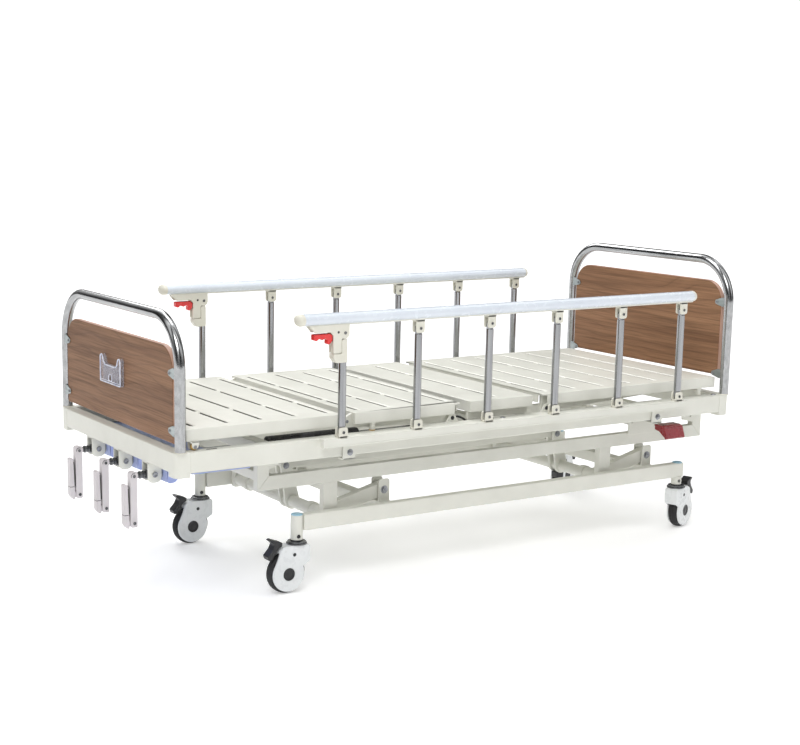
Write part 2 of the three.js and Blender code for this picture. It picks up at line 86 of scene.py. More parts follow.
def span(node, axis):
    """Lowest and highest value of a CAD node along an axis, in millimetres from the main frame's middle."""
    low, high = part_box(node)
    shift = MID_X if axis == 0 else 0.0
    return (low[axis] - shift) / MM, (high[axis] - shift) / MM


def middle(node, axis):
    """The middle of a CAD node along an axis, in the same terms as span."""
    low, high = span(node, axis)
    return (low + high) / 2


# ---------------------------------------------------------------- camera
YAW, PITCH, ROLL = 1.0140, -0.1890, 0.0140
EYE = Vector((-2.9148 + MID_X, -4.2650, 1.3983))
SENSOR, LENS, SHIFT_X, SHIFT_Y = 36, 70.29, 0.0723, 0.0603


def make_camera():
    """The camera, at EYE in metres, turned by YAW, PITCH and ROLL."""
    forward = Vector((math.cos(PITCH) * math.cos(YAW), math.cos(PITCH) * math.sin(YAW), math.sin(PITCH)))
    right = Vector((math.sin(YAW), -math.cos(YAW), 0))
    up = right.cross(forward)
    turned_right = math.cos(ROLL) * right + math.sin(ROLL) * up
    turned_up = -math.sin(ROLL) * right + math.cos(ROLL) * up
    data = bpy.data.cameras.new("camera")
    data.sensor_width, data.lens = SENSOR, LENS
    data.shift_x, data.shift_y = SHIFT_X, SHIFT_Y
    camera = bpy.data.objects.new("camera", data)
    bpy.context.scene.collection.objects.link(camera)
    axes = Matrix((turned_right, turned_up, -forward)).transposed().to_4x4()
    camera.matrix_world = Matrix.Translation(EYE) @ axes
    bpy.context.scene.camera = camera


make_camera()


# ---------------------------------------------------------------- shapes: (vertices, faces) in millimetres
def from_bmesh(bm):
    bm.verts.index_update()
    shape = ([v.co.copy() for v in bm.verts], [[v.index for v in f.verts] for f in bm.faces])
    bm.free()
    return shape


def to_bmesh(shape):
    bm = bmesh.new()
    verts = [bm.verts.new(v) for v in shape[0]]
    for face in shape[1]:
        bm.faces.new([verts[i] for i in face])
    bmesh.ops.recalc_face_normals(bm, faces=bm.faces)
    return bm


def bevelled(shape, radius, segments=2, angle=25, choose=None):
    """Rounds every edge sharper than angle, or those of them that choose(edge) accepts."""
    bm = to_bmesh(shape)
    if radius > 0:
        edges = [e for e in bm.edges if e.calc_face_angle(0) > math.radians(angle)]
        if choose:
            edges = [e for e in edges if choose(e)]
        bmesh.ops.bevel(bm, geom=edges, offset=radius, segments=segments, profile=0.5,
                        affect="EDGES", clamp_overlap=True)
    return from_bmesh(bm)


def sharp(edge):
    """Whether an edge is a corner, and not a step of a curve."""
    return edge.calc_face_angle(0) > SHARP_ANGLE


def strip(a, b, count):
    """Quads between two rings of count vertices, which start at a and at b."""
    return [[a + i, a + (i + 1) % count, b + (i + 1) % count, b + i] for i in range(count)]


AXES = {"x": (1, 2, 0), "y": (0, 2, 1), "z": (0, 1, 2)}


def on_axis(axis, u, v, along):
    first, second, third = AXES[axis]
    point = [0.0, 0.0, 0.0]
    point[first], point[second], point[third] = u, v, along
    return Vector(point)


def prism(outline, axis, a, b, radius=1.0, segments=2, choose=None):
    """An outline in the other two axes, in X, Y, Z order, from a to b along axis."""
    n = len(outline)
    verts = [on_axis(axis, u, v, t) for t in (a, b) for u, v in outline]
    faces = [list(range(n)), list(range(n, 2 * n))] + strip(0, n, n)
    return bevelled((verts, faces), radius, segments, choose=choose)


def block(x0, x1, y0, y1, z0, z1, radius=1.2, segments=2):
    return prism([(x0, y0), (x1, y0), (x1, y1), (x0, y1)], "z", z0, z1, radius, segments)


def arc(cx, cy, radius, start, end, steps):
    """Points on an arc, angles in degrees."""
    turns = [math.radians(start + (end - start) * i / steps) for i in range(steps + 1)]
    return [(cx + radius * math.cos(t), cy + radius * math.sin(t)) for t in turns]


def filleted(corners, radii, steps=4):
    """A polygon with each corner rounded by its radius."""
    radii = radii if isinstance(radii, (list, tuple)) else [radii] * len(corners)
    points = []
    for i, (corner, radius) in enumerate(zip(corners, radii)):
        here = Vector(corner)
        back = (Vector(corners[i - 1]) - here)
        ahead = (Vector(corners[(i + 1) % len(corners)]) - here)
        if radius <= 0:
            points.append(tuple(here))
            continue
        half = back.angle(ahead) / 2
        reach = min(radius / math.tan(half), back.length * 0.48, ahead.length * 0.48)
        start, end = here + back.normalized() * reach, here + ahead.normalized() * reach
        for k in range(steps + 1):
            t = k / steps
            points.append(tuple((1 - t) ** 2 * start + 2 * t * (1 - t) * here + t ** 2 * end))
    return points


def area(points):
    return sum(a[0] * b[1] - b[0] * a[1] for a, b in zip(points, points[1:] + points[:1])) / 2


def inset(points, distance):
    """A counter-clockwise polygon moved inwards; a negative distance moves it outwards."""
    n, out = len(points), []
    for i in range(n):
        here = Vector(points[i])
        before = (here - Vector(points[i - 1])).normalized()
        after = (Vector(points[(i + 1) % n]) - here).normalized()
        normal_a, normal_b = Vector((-before.y, before.x)), Vector((-after.y, after.x))
        bisector = normal_a + normal_b
        scale = 1 + normal_a.dot(normal_b)
        out.append(tuple(here + bisector * (distance / max(scale, 0.35))))
    return out


def anticlockwise(points):
    points = list(points)
    return points if area(points) > 0 else points[::-1]


def plate(outline, holes, axis, a, b, radius=0.8, steps=2):
    """A flat plate with rounded edges and holes, from a to b along axis."""
    loops = [(anticlockwise(outline), 1)] + [(anticlockwise(h), -1) for h in holes]
    rounding = [(radius * (1 - math.sin(t)), radius * (1 - math.cos(t)))
                for t in (math.pi / 2 * k / steps for k in range(steps + 1))]
    profile = [(inward, a + down) for inward, down in rounding]
    profile += [(inward, b - down) for inward, down in reversed(rounding)]
    verts, faces, rings = [], [], []
    for points, sign in loops:
        starts = []
        for inward, along in profile:
            starts.append(len(verts))
            verts += [on_axis(axis, u, v, along) for u, v in inset(points, inward * sign)]
        n = len(points)
        for lower, upper in zip(starts, starts[1:]):
            faces += strip(lower, upper, n)
        rings.append((starts[0], starts[-1], n))
    for which in (0, 1):
        flat, index = [], []
        for ring in rings:
            ids = list(range(ring[which], ring[which] + ring[2]))
            index += ids
            first, second, _ = AXES[axis]
            flat.append([Vector((verts[i][first], verts[i][second], 0)) for i in ids])
        faces += [[index[i] for i in tri] for tri in geometry.tessellate_polygon(flat)]
    return from_bmesh(to_bmesh((verts, faces)))


def symmetric(half):
    """A profile from its half with along below 0."""
    return half + [(-along, radius) for along, radius in reversed(half)]


def lathe(profile, axis, centre, sides=32):
    """Turns (along, radius) pairs round an axis through centre. A radius of 0 closes an end."""
    first, second, third = AXES[axis]
    verts, faces, rings = [], [], []
    for along, radius in profile:
        start = len(verts)
        count = 1 if radius <= 0 else sides
        for k in range(count):
            turn = 2 * math.pi * k / sides
            point = [0.0, 0.0, 0.0]
            point[first] = centre[first] + radius * math.cos(turn)
            point[second] = centre[second] + radius * math.sin(turn)
            point[third] = centre[third] + along
            verts.append(Vector(point))
        rings.append((start, count))
    for (s0, c0), (s1, c1) in zip(rings, rings[1:]):
        for k in range(sides):
            quad = [s0 + k % c0, s0 + (k + 1) % c0, s1 + (k + 1) % c1, s1 + k % c1]
            kept = [q for i, q in enumerate(quad) if q not in quad[:i]]
            if len(kept) > 2:
                faces.append(kept)
    for start, count in (rings[0], rings[-1]):
        if count > 1:
            faces.append(list(range(start, start + count)))
    return from_bmesh(to_bmesh((verts, faces)))


def bar(axis, radius, a, b, centre, edge=1.0, sides=32):
    """A round bar with softened ends. centre is a point on its axis."""
    low, high = min(a, b), max(a, b)
    base = list(centre)
    base[AXES[axis][2]] = 0
    soft = [(edge * (1 - math.cos(t)), edge * (1 - math.sin(t))) for t in (0, math.pi / 4, math.pi / 2)]
    profile = [(low, 0)] + [(low + away, radius - inward) for away, inward in soft]
    profile += [(high - away, radius - inward) for away, inward in reversed(soft)] + [(high, 0)]
    return lathe(profile, axis, base, sides)


def sweep(points, radius, sides=24, scale=(1, 1)):
    """A round tube along points, closed at both ends."""
    points = [Vector(p) for p in points]
    tangents = [(points[min(i + 1, len(points) - 1)] - points[max(i - 1, 0)]).normalized()
                for i in range(len(points))]
    across = tangents[0].orthogonal().normalized()
    verts, faces = [], []
    for point, tangent in zip(points, tangents):
        across = (across - tangent * across.dot(tangent)).normalized()
        other = tangent.cross(across)
        verts += [point + radius * (across * math.cos(t) * scale[0] + other * math.sin(t) * scale[1])
                  for t in (2 * math.pi * k / sides for k in range(sides))]
    for i in range(len(points) - 1):
        faces += strip(i * sides, (i + 1) * sides, sides)
    last = (len(points) - 1) * sides
    faces += [list(range(sides)), list(range(last, last + sides))]
    return from_bmesh(to_bmesh((verts, faces)))


def moved(shape, matrix):
    verts = [matrix @ v for v in shape[0]]
    faces = shape[1] if matrix.determinant() > 0 else [f[::-1] for f in shape[1]]
    return verts, faces


def facing(direction, at):
    """A matrix that turns +Z to direction and moves to the point at."""
    return Matrix.Translation(at) @ Vector(direction).to_track_quat("Z", "Y").to_matrix().to_4x4()


def hexagon(radius, turn=0.0):
    return [(radius * math.cos(math.radians(60 * k + turn)), radius * math.sin(math.radians(60 * k + turn)))
            for k in range(6)]


def bolt(at, direction, radius=8.0, turn=10.0):
    """A hexagon head on a washer."""
    washer = lathe([(0, 0), (0, radius * 1.35), (0.9, radius * 1.35), (1.4, radius * 1.25), (1.4, 0)], "z",
                   (0, 0, 0), 28)
    head = prism(hexagon(radius, turn), "z", 1.2, 1.2 + radius * 0.62, radius * 0.1, 2)
    dome = lathe([(1.2, 0), (1.2, radius * 0.6), (1.5 + radius * 0.62, radius * 0.6),
                  (2.6 + radius * 0.62, radius * 0.42), (2.9 + radius * 0.62, 0)], "z", (0, 0, 0), 20)
    return [moved(s, facing(direction, at)) for s in (washer, head, dome)]


def screw(at, direction, radius=5.0, turn=30.0):
    """A domed head with a hexagon socket."""
    ring = [(radius * math.cos(t), radius * math.sin(t)) for t in (2 * math.pi * k / 24 for k in range(24))]
    head = plate(ring, [hexagon(radius * 0.48, turn)], "z", 0, radius * 0.55, radius * 0.3, 3)
    floor = lathe([(0.1, 0), (0.1, radius * 0.55), (0.5, radius * 0.55), (0.5, 0)], "z", (0, 0, 0), 12)
    return [moved(s, facing(direction, at)) for s in (head, floor)]


def screw_pairs(places, reach, radius):
    """A screw head on the near and the far face of each place (x, y, z), reach from its middle."""
    return [s for x, y, z in places for d in (1, -1) for s in screw((x, y + d * reach, z), (0, d, 0), radius)]


# ---------------------------------------------------------------- pieces
def piece(name, body, slot, groups, replaces=()):
    """groups is a list of (material, shapes). The piece rides on a CAD body."""
    verts, faces, slots = [], [], []
    for index, (_, shapes) in enumerate(groups):
        for shape in shapes:
            start = len(verts)
            verts += [(v[0] * MM + MID_X, v[1] * MM, v[2] * MM) for v in shape[0]]
            faces += [[start + i for i in face] for face in shape[1]]
            slots += [index] * len(shape[1])
    mesh = bpy.data.meshes.new(name)
    mesh.from_pydata(verts, [], faces)
    for material, _ in groups:
        mesh.materials.append(material)
    mesh.polygons.foreach_set("material_index", slots)
    mesh.shade_smooth()
    mesh.set_sharp_from_angle(angle=SMOOTH_ANGLE)
    mesh.update()
    obj = bpy.data.objects.new(name, mesh)
    bpy.context.scene.collection.objects.link(obj)
    weighted = obj.modifiers.new("normals", "WEIGHTED_NORMAL")
    weighted.keep_sharp = True
    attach(obj, body)
    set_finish(obj, slot)
    if replaces:
        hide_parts(*replaces)
    return obj


def carve(obj, cutter_shapes):
    """Takes closed shapes out of a piece."""
    cutter = piece(obj.name + "_cutter", body_of(obj)[0], obj["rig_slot"],
                   [(obj.data.materials[0], cutter_shapes)])
    cut = obj.modifiers.new("cut", "BOOLEAN")
    cut.operation, cut.solver, cut.object = "DIFFERENCE", "EXACT", cutter
    bpy.context.view_layer.update()
    graph = bpy.context.evaluated_depsgraph_get()
    obj.modifiers["normals"].show_viewport = False
    graph.update()
    result = bpy.data.meshes.new_from_object(obj.evaluated_get(graph), depsgraph=graph)
    obj.modifiers.remove(cut)
    obj.modifiers["normals"].show_viewport = True
    obj.data = result
    result.shade_smooth()
    result.set_sharp_from_angle(angle=SMOOTH_ANGLE)
    bpy.data.objects.remove(cutter, do_unlink=True)


def mirrored(shapes):
    flip = Matrix.Scale(-1, 4, (0, 1, 0))
    return [moved(s, flip) for s in shapes]


def both(shapes):
    """Shapes made for the far side, and the same on the near side."""
    return list(shapes) + mirrored(shapes)


# ---------------------------------------------------------------- materials
class Shader:
    """A node material built up from a Principled shader, in the object's own coordinates (metres)."""

    def __init__(self, name, metallic=0.0, **sockets):
        self.material = bpy.data.materials.new(name)
        self.material.use_nodes = True
        self.tree = self.material.node_tree
        self.bsdf = next(n for n in self.tree.nodes if n.type == "BSDF_PRINCIPLED")
        self.bsdf.inputs["Metallic"].default_value = metallic
        for socket, value in sockets.items():
            self.bsdf.inputs[socket.replace("_", " ")].default_value = value
        self.coords = self.node("ShaderNodeTexCoord").outputs["Object"]

    def node(self, kind, **settings):
        made = self.tree.nodes.new(kind)
        for key, value in settings.items():
            setattr(made, key, value)
        return made

    def link(self, source, target):
        self.tree.links.new(source, target)

    def stretched(self, scale):
        mapping = self.node("ShaderNodeMapping")
        mapping.inputs["Scale"].default_value = scale
        self.link(self.coords, mapping.inputs["Vector"])
        return mapping.outputs["Vector"]

    def noise(self, scale, detail=3.0, stretch=(1, 1, 1), rough=0.55, distortion=0.0):
        made = self.node("ShaderNodeTexNoise")
        for key, value in (("Scale", scale), ("Detail", detail), ("Roughness", rough),
                           ("Distortion", distortion)):
            made.inputs[key].default_value = value
        self.link(self.stretched(stretch), made.inputs["Vector"])
        return made.outputs["Fac"]

    def ramp(self, factor, stops):
        made = self.node("ShaderNodeValToRGB")
        elements = made.color_ramp.elements
        while len(elements) < len(stops):
            elements.new(0.5)
        for element, (position, colour) in zip(elements, stops):
            element.position = position
            element.color = (*colour, 1) if isinstance(colour, tuple) else (colour, colour, colour, 1)
        self.link(factor, made.inputs["Fac"])
        return made.outputs["Color"]

    def math(self, operation, a, b):
        made = self.node("ShaderNodeMath", operation=operation)
        for socket, value in zip(made.inputs, (a, b)):
            if isinstance(value, (int, float)):
                socket.default_value = value
            else:
                self.link(value, socket)
        return made.outputs[0]

    def mixed(self, a, b, factor, mode="MIX"):
        made = self.node("ShaderNodeMix", data_type="RGBA", blend_type=mode)
        for socket, value in ((made.inputs[0], factor), (made.inputs[6], a), (made.inputs[7], b)):
            if isinstance(value, (int, float)):
                socket.default_value = value
            elif isinstance(value, tuple):
                socket.default_value = (*value, 1)
            else:
                self.link(value, socket)
        return made.outputs[2]

    def bump(self, height, distance, strength=1.0, below=None):
        made = self.node("ShaderNodeBump")
        made.inputs["Strength"].default_value = strength
        made.inputs["Distance"].default_value = distance
        self.link(height, made.inputs["Height"])
        if below:
            self.link(below, made.inputs["Normal"])
        self.link(made.outputs["Normal"], self.bsdf.inputs["Normal"])
        return made.outputs["Normal"]

    def colour(self, output):
        self.link(output, self.bsdf.inputs["Base Color"])

    def roughness(self, output):
        self.link(output, self.bsdf.inputs["Roughness"])


def coated(name, dark, light, rough, grain=700.0, depth=0.00012, metallic=0.0, patch=9.0, **sockets):
    """Paint or moulded plastic: a slow change of shade, a fine surface texture and uneven gloss."""
    s = Shader(name, metallic, **sockets)
    s.colour(s.ramp(s.noise(patch, 4), [(0.32, dark), (0.68, light)]))
    s.roughness(s.ramp(s.noise(60, 4), [(0.3, rough[0]), (0.7, rough[1])]))
    s.bump(s.noise(grain, 2), depth, 0.5)
    return s.material


def polished(name, dark, light, rough, lines, depth=0.00004, **sockets):
    """Polished or brushed metal with fine lines along one direction, given by the noise's stretch."""
    s = Shader(name, 1.0, **sockets)
    streaks = s.noise(260, 4, lines)
    s.colour(s.ramp(s.noise(14, 4, lines), [(0.3, dark), (0.7, light)]))
    s.roughness(s.ramp(streaks, [(0.3, rough[0]), (0.7, rough[1])]))
    s.bump(streaks, depth, 0.4)
    return s.material


def walnut():
    """Horizontal walnut grain: long fine fibres over soft growth rings."""
    s = Shader("walnut_laminate", Specular_IOR_Level=0.25)
    split = s.node("ShaderNodeSeparateXYZ")
    s.link(s.coords, split.inputs[0])
    swell = s.noise(1.0, 2, (1, 1.5, 3.2), 0.40)
    rings = s.math("FRACT", s.math("ADD", s.math("MULTIPLY", split.outputs["Z"], 30.0),
                                   s.math("MULTIPLY", swell, 9.0)), 0.0)
    tone = s.ramp(s.noise(1.0, 5, (1, 1.0, 22.0), 0.6), [(0.30, WOOD_DARK), (0.70, WOOD_LIGHT)])
    figure = s.ramp(rings, [(0.0, 0.72), (0.08, 0.92), (0.5, 1.04), (0.92, 0.95), (1.0, 0.72)])
    fibres = s.noise(1.0, 7, (40, 2.6, 190.0), 0.72)
    streaks = s.ramp(fibres, [(0.30, 0.50), (0.50, 1.0), (0.72, 1.22)])
    pores = s.noise(1.0, 3, (60, 9.0, 700.0), 0.6)
    flecks = s.ramp(pores, [(0.32, 0.50), (0.44, 1.0)])
    body = s.mixed(tone, figure, 0.85, "MULTIPLY")
    body = s.mixed(body, streaks, 0.90, "MULTIPLY")
    body = s.mixed(body, flecks, 0.55, "MULTIPLY")
    s.colour(body)
    s.roughness(s.ramp(fibres, [(0.3, 0.58), (0.7, 0.44)]))
    s.bump(flecks, 0.00012, 0.5)
    return s.material


def clear(name, tint, roughness=0.03):
    """Clear moulded plastic with a faint tint."""
    s = Shader(name, 0.0, IOR=1.49, Alpha=0.20)
    s.colour(s.ramp(s.noise(20, 2), [(0.3, tint), (0.7, (0.60, 0.61, 0.70))]))
    s.roughness(s.ramp(s.noise(90, 3), [(0.3, roughness), (0.7, roughness * 2.5)]))
    s.bump(s.noise(12, 2), 0.00005, 0.2)
    return s.material


WOOD_DARK, WOOD_LIGHT = (0.165, 0.080, 0.040), (0.310, 0.165, 0.088)
CREAM = coated("cream_powder_coat", (0.700, 0.700, 0.635), (0.750, 0.750, 0.685), (0.34, 0.46), 620, 0.00016)
CREAM_PLASTIC = coated("cream_plastic", (0.685, 0.670, 0.580), (0.735, 0.720, 0.635), (0.30, 0.42), 900,
                       0.0001)
ICE = coated("rail_coating", (0.66, 0.71, 0.78), (0.72, 0.77, 0.83), (0.20, 0.30), 500, 0.00006,
             Coat_Weight=0.4)
TUBE = polished("board_tube_steel", (0.31, 0.315, 0.32), (0.45, 0.455, 0.46), (0.12, 0.24), (9, 0.5, 3))
CHROME = polished("post_chrome", (0.25, 0.255, 0.265), (0.37, 0.375, 0.385), (0.08, 0.16), (8, 8, 0.3))
ZINC = polished("zinc_plate", (0.24, 0.25, 0.27), (0.42, 0.43, 0.45), (0.24, 0.40), (2, 2, 2), 0.0001)
STEEL = polished("clip_steel", (0.30, 0.34, 0.34), (0.46, 0.50, 0.50), (0.30, 0.45), (1, 1, 6), 0.00008)
DARK_STEEL = polished("dark_joint", (0.10, 0.105, 0.11), (0.24, 0.245, 0.25), (0.20, 0.34), (3, 3, 3), 0.0001)
WALNUT = walnut()
BANDING = coated("edge_banding", (0.50, 0.29, 0.21), (0.62, 0.38, 0.285), (0.34, 0.46), 400, 0.0001)
TYRE = coated("tyre_rubber", (0.010, 0.010, 0.011), (0.024, 0.024, 0.026), (0.55, 0.75), 420, 0.0003)
COVER = coated("caster_cover", (0.74, 0.765, 0.77), (0.82, 0.835, 0.84), (0.24, 0.34), 800, 0.00008,
               Coat_Weight=0.3)
BLACK = coated("black_plastic", (0.010, 0.010, 0.011), (0.022, 0.022, 0.025), (0.30, 0.46), 900, 0.00022)
BLACK_PAINT = coated("black_paint", (0.010, 0.010, 0.012), (0.020, 0.020, 0.022), (0.18, 0.30), 500, 0.00006)
RED = coated("red_plastic", (0.62, 0.008, 0.008), (0.76, 0.014, 0.014), (0.20, 0.32), 700, 0.00008,
             Coat_Weight=0.5)
DARK_RED = coated("dark_red_plastic", (0.17, 0.005, 0.010), (0.26, 0.009, 0.017), (0.22, 0.34), 700, 0.0001,
                  Coat_Weight=0.4)
CRANK = coated("crank_coating", (0.610, 0.575, 0.590), (0.680, 0.645, 0.660), (0.32, 0.44), 500, 0.00006)
BLUE = coated("blue_plastic", (0.340, 0.410, 0.720), (0.420, 0.490, 0.800), (0.30, 0.44), 600, 0.00012)
PALE_BLUE = coated("pale_blue_cap", (0.30, 0.54, 0.68), (0.38, 0.62, 0.76), (0.25, 0.36), 700, 0.0001)
OCHRE = coated("ochre_nylon", (0.46, 0.27, 0.06), (0.60, 0.37, 0.10), (0.36, 0.50), 500, 0.00015)
# Painted shade: a near-black for the liners that darken the deck slots' throats.
SLOT_SHADE = coated("slot_painted_shade", (0.085, 0.085, 0.070), (0.15, 0.15, 0.125), (0.5, 0.7), 500, 0.0001)
CABLE = coated("cable_sheath", (0.010, 0.010, 0.011), (0.022, 0.022, 0.023), (0.35, 0.50), 900, 0.0002)
ACRYLIC = clear("clear_acrylic", (0.42, 0.43, 0.52))
# Painted highlight: an opaque pale blue-white for the lines round the clear pocket's edges; its light and
# dark patches are painted reflection.
ACRYLIC_EDGE_GLINT = coated("acrylic_edge_painted_glint", (0.42, 0.46, 0.60), (0.86, 0.88, 0.95), (0.06, 0.14), 300, 0.00005,
                     patch=60.0)


# ---------------------------------------------------------------- base frame
BASE_Y, SOCKET_X, HEAD_X = 323.0, -617.0, 931.0
TOWERS = (-273.6, 826.4)
TOWER_Z = 266.0


def make_base():
    """The welded base: two rails, cross tubes, lift towers and the four caster sockets."""
    rails = both([block(-599, 950, 308, 338, 187, 237, 4, 3)])
    cross = [block(x - 20, x + 20, -309, 309, 192, 230, 3, 3) for x in TOWERS]
    outline = lambda x: filleted([(x - 20, 228), (x + 20, 228), (x + 20, 300), (x - 20, 300)], [1, 1, 9, 9])
    towers = [plate(outline(x), [], "y", a, a + 6, 1.0) for x in TOWERS for a in (232, 272)]
    welds = [sweep([(x + dx, 271 + 8 * dy, 230.5), (x - dx, 271 + 8 * dy, 230.5)], 1.6, 8)
             for x in TOWERS for dx, dy in ((19, 0), (19, 1))]
    sockets, caps, screws = [], [], []
    for _, side in SIDES:
        at = (SOCKET_X, side * BASE_Y, 0)
        sockets.append(lathe([(160, 0), (160, 16.5), (161.5, 18.4), (234, 18.4), (236.5, 17.6), (237, 16),
                              (237, 0)], "z", at, 48))
        sockets.append(lathe([(160, 0), (160, 16.5), (161.5, 18), (188, 18), (188, 0)],
                             "z", (HEAD_X, side * BASE_Y, 0), 48))
        sockets.append(sweep([(SOCKET_X + 21, side * BASE_Y + d, z) for z, d in
                              ((189, 13), (235, 13), (235.5, -13), (189, -13))], 1.8, 8))
        for x in (SOCKET_X, HEAD_X):
            radius = 18 if x == SOCKET_X else 17
            caps.append(lathe([(236.8, 0), (236.8, radius), (238.4, radius), (240.2, radius - 2.5),
                               (240.8, radius - 8), (240.8, 0)], "z", (x, side * BASE_Y, 0), 40))
        facing_out = Vector((-0.19, -0.982, 0))
        screws += screw(Vector((SOCKET_X, side * BASE_Y, 173)) + facing_out * 17.9, facing_out, 6.0)
        screws += screw(Vector((HEAD_X, side * BASE_Y, 174)) + facing_out * 17.4, facing_out, 5.0)
    bolts = [b for x in TOWERS for b in bolt((x, 278, TOWER_Z), (0, 1, 0), 9.5)
             + bolt((x, 232, TOWER_Z), (0, -1, 0), 8.5, 25)]
    piece("base_frame_coated", "base", "cream_paint",
          [(CREAM, rails + cross + both(towers) + both(welds) + sockets), (PALE_BLUE, caps), (BLACK, screws),
           (ZINC, both(bolts))], ["base_frame"])


# ---------------------------------------------------------------- casters, around the swivel axis
TRAIL, AXLE_Z, COVER_Z = -38.0, 62.5, 61.0


def cover_outline():
    """A caster cover seen from the side: a disc with a block up to the stem."""
    disc = arc(TRAIL, COVER_Z, 54, 22, -212, 44)
    top = filleted([(-74, 112), (-66, 139), (-50, 148), (30, 148), (36, 142), (36, 95), (22, 86)],
                   [0, 8, 6, 5, 4, 8, 0], 4)
    return disc + top


def make_caster(name, x, y, degrees):
    """A caster turned by degrees about its stem: covers, wheel and brake pedal."""
    place = Matrix.Translation((x, y, 0)) @ Matrix.Rotation(math.radians(degrees), 4, "Z")
    put = lambda shapes: [moved(s, place) for s in shapes]
    body, wheel, pedal = f"caster_{name}", f"wheel_{name}", f"brake_pedal_{name}"
    shell = prism(cover_outline(), "y", -24, 24, 5.5, 4, choose=sharp)
    cover = piece(f"caster_cover_{name}", body, "caster_cover", [(COVER, put([shell]))],
                  [f"caster_housing_{name}"])
    slot = prism([(-130, -20), (27, -20), (27, 104), (8, 128), (-130, 128)], "y", -17, 17, 1.5, 2)
    hubs = [lathe([(a, 0), (a, 20.5), (b, 20.5), (b, 0)], "y", (TRAIL, 0, COVER_Z), 48)
            for a, b in ((22, 30), (-30, -22))]
    carve(cover, put([slot] + hubs))
    caps, plugs = [], []
    for _, side in SIDES:
        cap = lathe([(17.2, 0), (17.2, 16), (21.0, 18), (23.2, 19.6), (23.8, 18.8), (23.4, 17.2),
                     (22.4, 16.0), (22.2, 9.0), (22.9, 8.2), (22.9, 0)], "y", (0, 0, 0), 48)
        cap = moved(cap, Matrix.Scale(side, 4, (0, 1, 0)))
        caps.append(moved(cap, Matrix.Translation((TRAIL, 0, COVER_Z))))
        plug = lathe([(23, 0), (23, 5.6), (24.3, 5.6), (25.2, 4.4), (25.4, 0)], "y", (0, 0, 0), 24)
        plugs.append(moved(moved(plug, Matrix.Scale(side, 4, (0, 1, 0))), Matrix.Translation((-20, 0, 120))))
    rings = [lathe([(147.2, 0), (147.2, 30), (148.2, 32), (151, 32), (152, 30.5), (152, 27), (153.4, 27),
                    (154.2, 28.4), (156.4, 28.4), (157.2, 27), (157.2, 0)], "z", (0, 0, 0), 48),
             lathe([(157, 0), (157, 19), (159.4, 19), (159.4, 0)], "z", (0, 0, 0), 32)]
    piece(f"caster_fittings_{name}", body, "caster_cover", [(BLACK, put(caps + plugs)),
                                                            (DARK_STEEL, put(rings))])
    tread = symmetric([(-15, 40), (-15, 51), (-14.4, 55.5), (-12, 59.6), (-8.5, 61.8), (-5.2, 62.4),
                       (-4.6, 61.2), (-3.6, 61.2), (-3.0, 62.5)])
    tyre = lathe(tread, "y", (TRAIL, 0, AXLE_Z), 72)
    web = symmetric([(-13, 0), (-13, 14), (-9, 18), (-8, 38), (-13.5, 39.5), (-14.2, 41)])
    rim = lathe(web, "y", (TRAIL, 0, AXLE_Z), 48)
    piece(f"wheel_tyre_{name}", wheel, "tyre_rubber", [(TYRE, put([tyre])), (COVER, put([rim]))],
          [f"caster_wheel_{name}"])
    outline = [(-70, 144), (-59, 149), (-57, 160), (-91, 172), (-98.5, 169), (-83, 156), (-90, 141),
               (-108, 121), (-103, 108.5), (-92, 111), (-79, 131)]
    outline = filleted(outline, [3, 3, 4, 2, 2, 6, 10, 7, 4, 4, 8], 4)
    lever = prism(outline, "y", -16, 16, 2.2, 3, choose=sharp)
    rib = filleted([(-75, 160.5), (-62, 156), (-60, 161.5), (-76, 167)], 1.5, 3)
    ribs = [prism(rib, "y", a, a + 3, 0.6, 2) for a in (-9, -3, 3)]
    piece(f"pedal_{name}", pedal, "black_plastic", [(BLACK, put([lever] + ribs))],
          [f"caster_brake_pedal_{name}"])


# ---------------------------------------------------------------- lift linkage
REACH, DROP, LEAN, RISE, LINK_Y = 218.4, 54.0, 25.0, 118.0, -60.0


def link_outline(a, b, ra, rb, steps=14):
    """A bar's outline with round ends of radius ra at a and rb at b."""
    along = math.degrees(math.atan2(b[1] - a[1], b[0] - a[0]))
    return (arc(a[0], a[1], ra, along + 90, along + 270, steps)
            + arc(b[0], b[1], rb, along - 90, along + 90, steps))


def make_lift_arm(body, node, tower):
    """A torque tube with its two bed arms and the two cheeks that take the link bar."""
    pivot, torque = (tower, TOWER_Z), (tower - REACH, TOWER_Z - DROP)
    top = (torque[0] - LEAN, torque[1] + RISE)
    tube = [bar("y", 19, -274, 274, (torque[0], 0, torque[1]), 1.2, 48)]
    arms = both([prism(link_outline(torque, pivot, 22, 22), "y", 241, 269, 2.5, 3, choose=sharp)])
    collars = both([bar("y", 25, 192, 216, (torque[0], 0, torque[1]), 2, 48),
                    bar("y", 22.5, 216, 245, (torque[0], 0, torque[1]), 1, 48)])
    levers = [plate(link_outline(torque, top, 26, 18), [], "y", LINK_Y + d, LINK_Y + d + 10, 1.2, 3)
              for d in (12, -22)]
    bolts = bolt((top[0], LINK_Y + 22, top[1]), (0, 1, 0), 8)
    bolts += bolt((top[0], LINK_Y - 22, top[1]), (0, -1, 0), 8, 35)
    groups = [(CREAM, tube + arms + collars + levers), (ZINC, bolts)]
    if body == "lift_arm_head":
        bumper = block(torque[0] - 17, torque[0] + 13, LINK_Y - 20, LINK_Y + 12, 168, 189, 3, 3)
        groups.append((BLACK, [bumper]))
    piece(f"{node}_coated", body, "cream_paint", groups, [node])


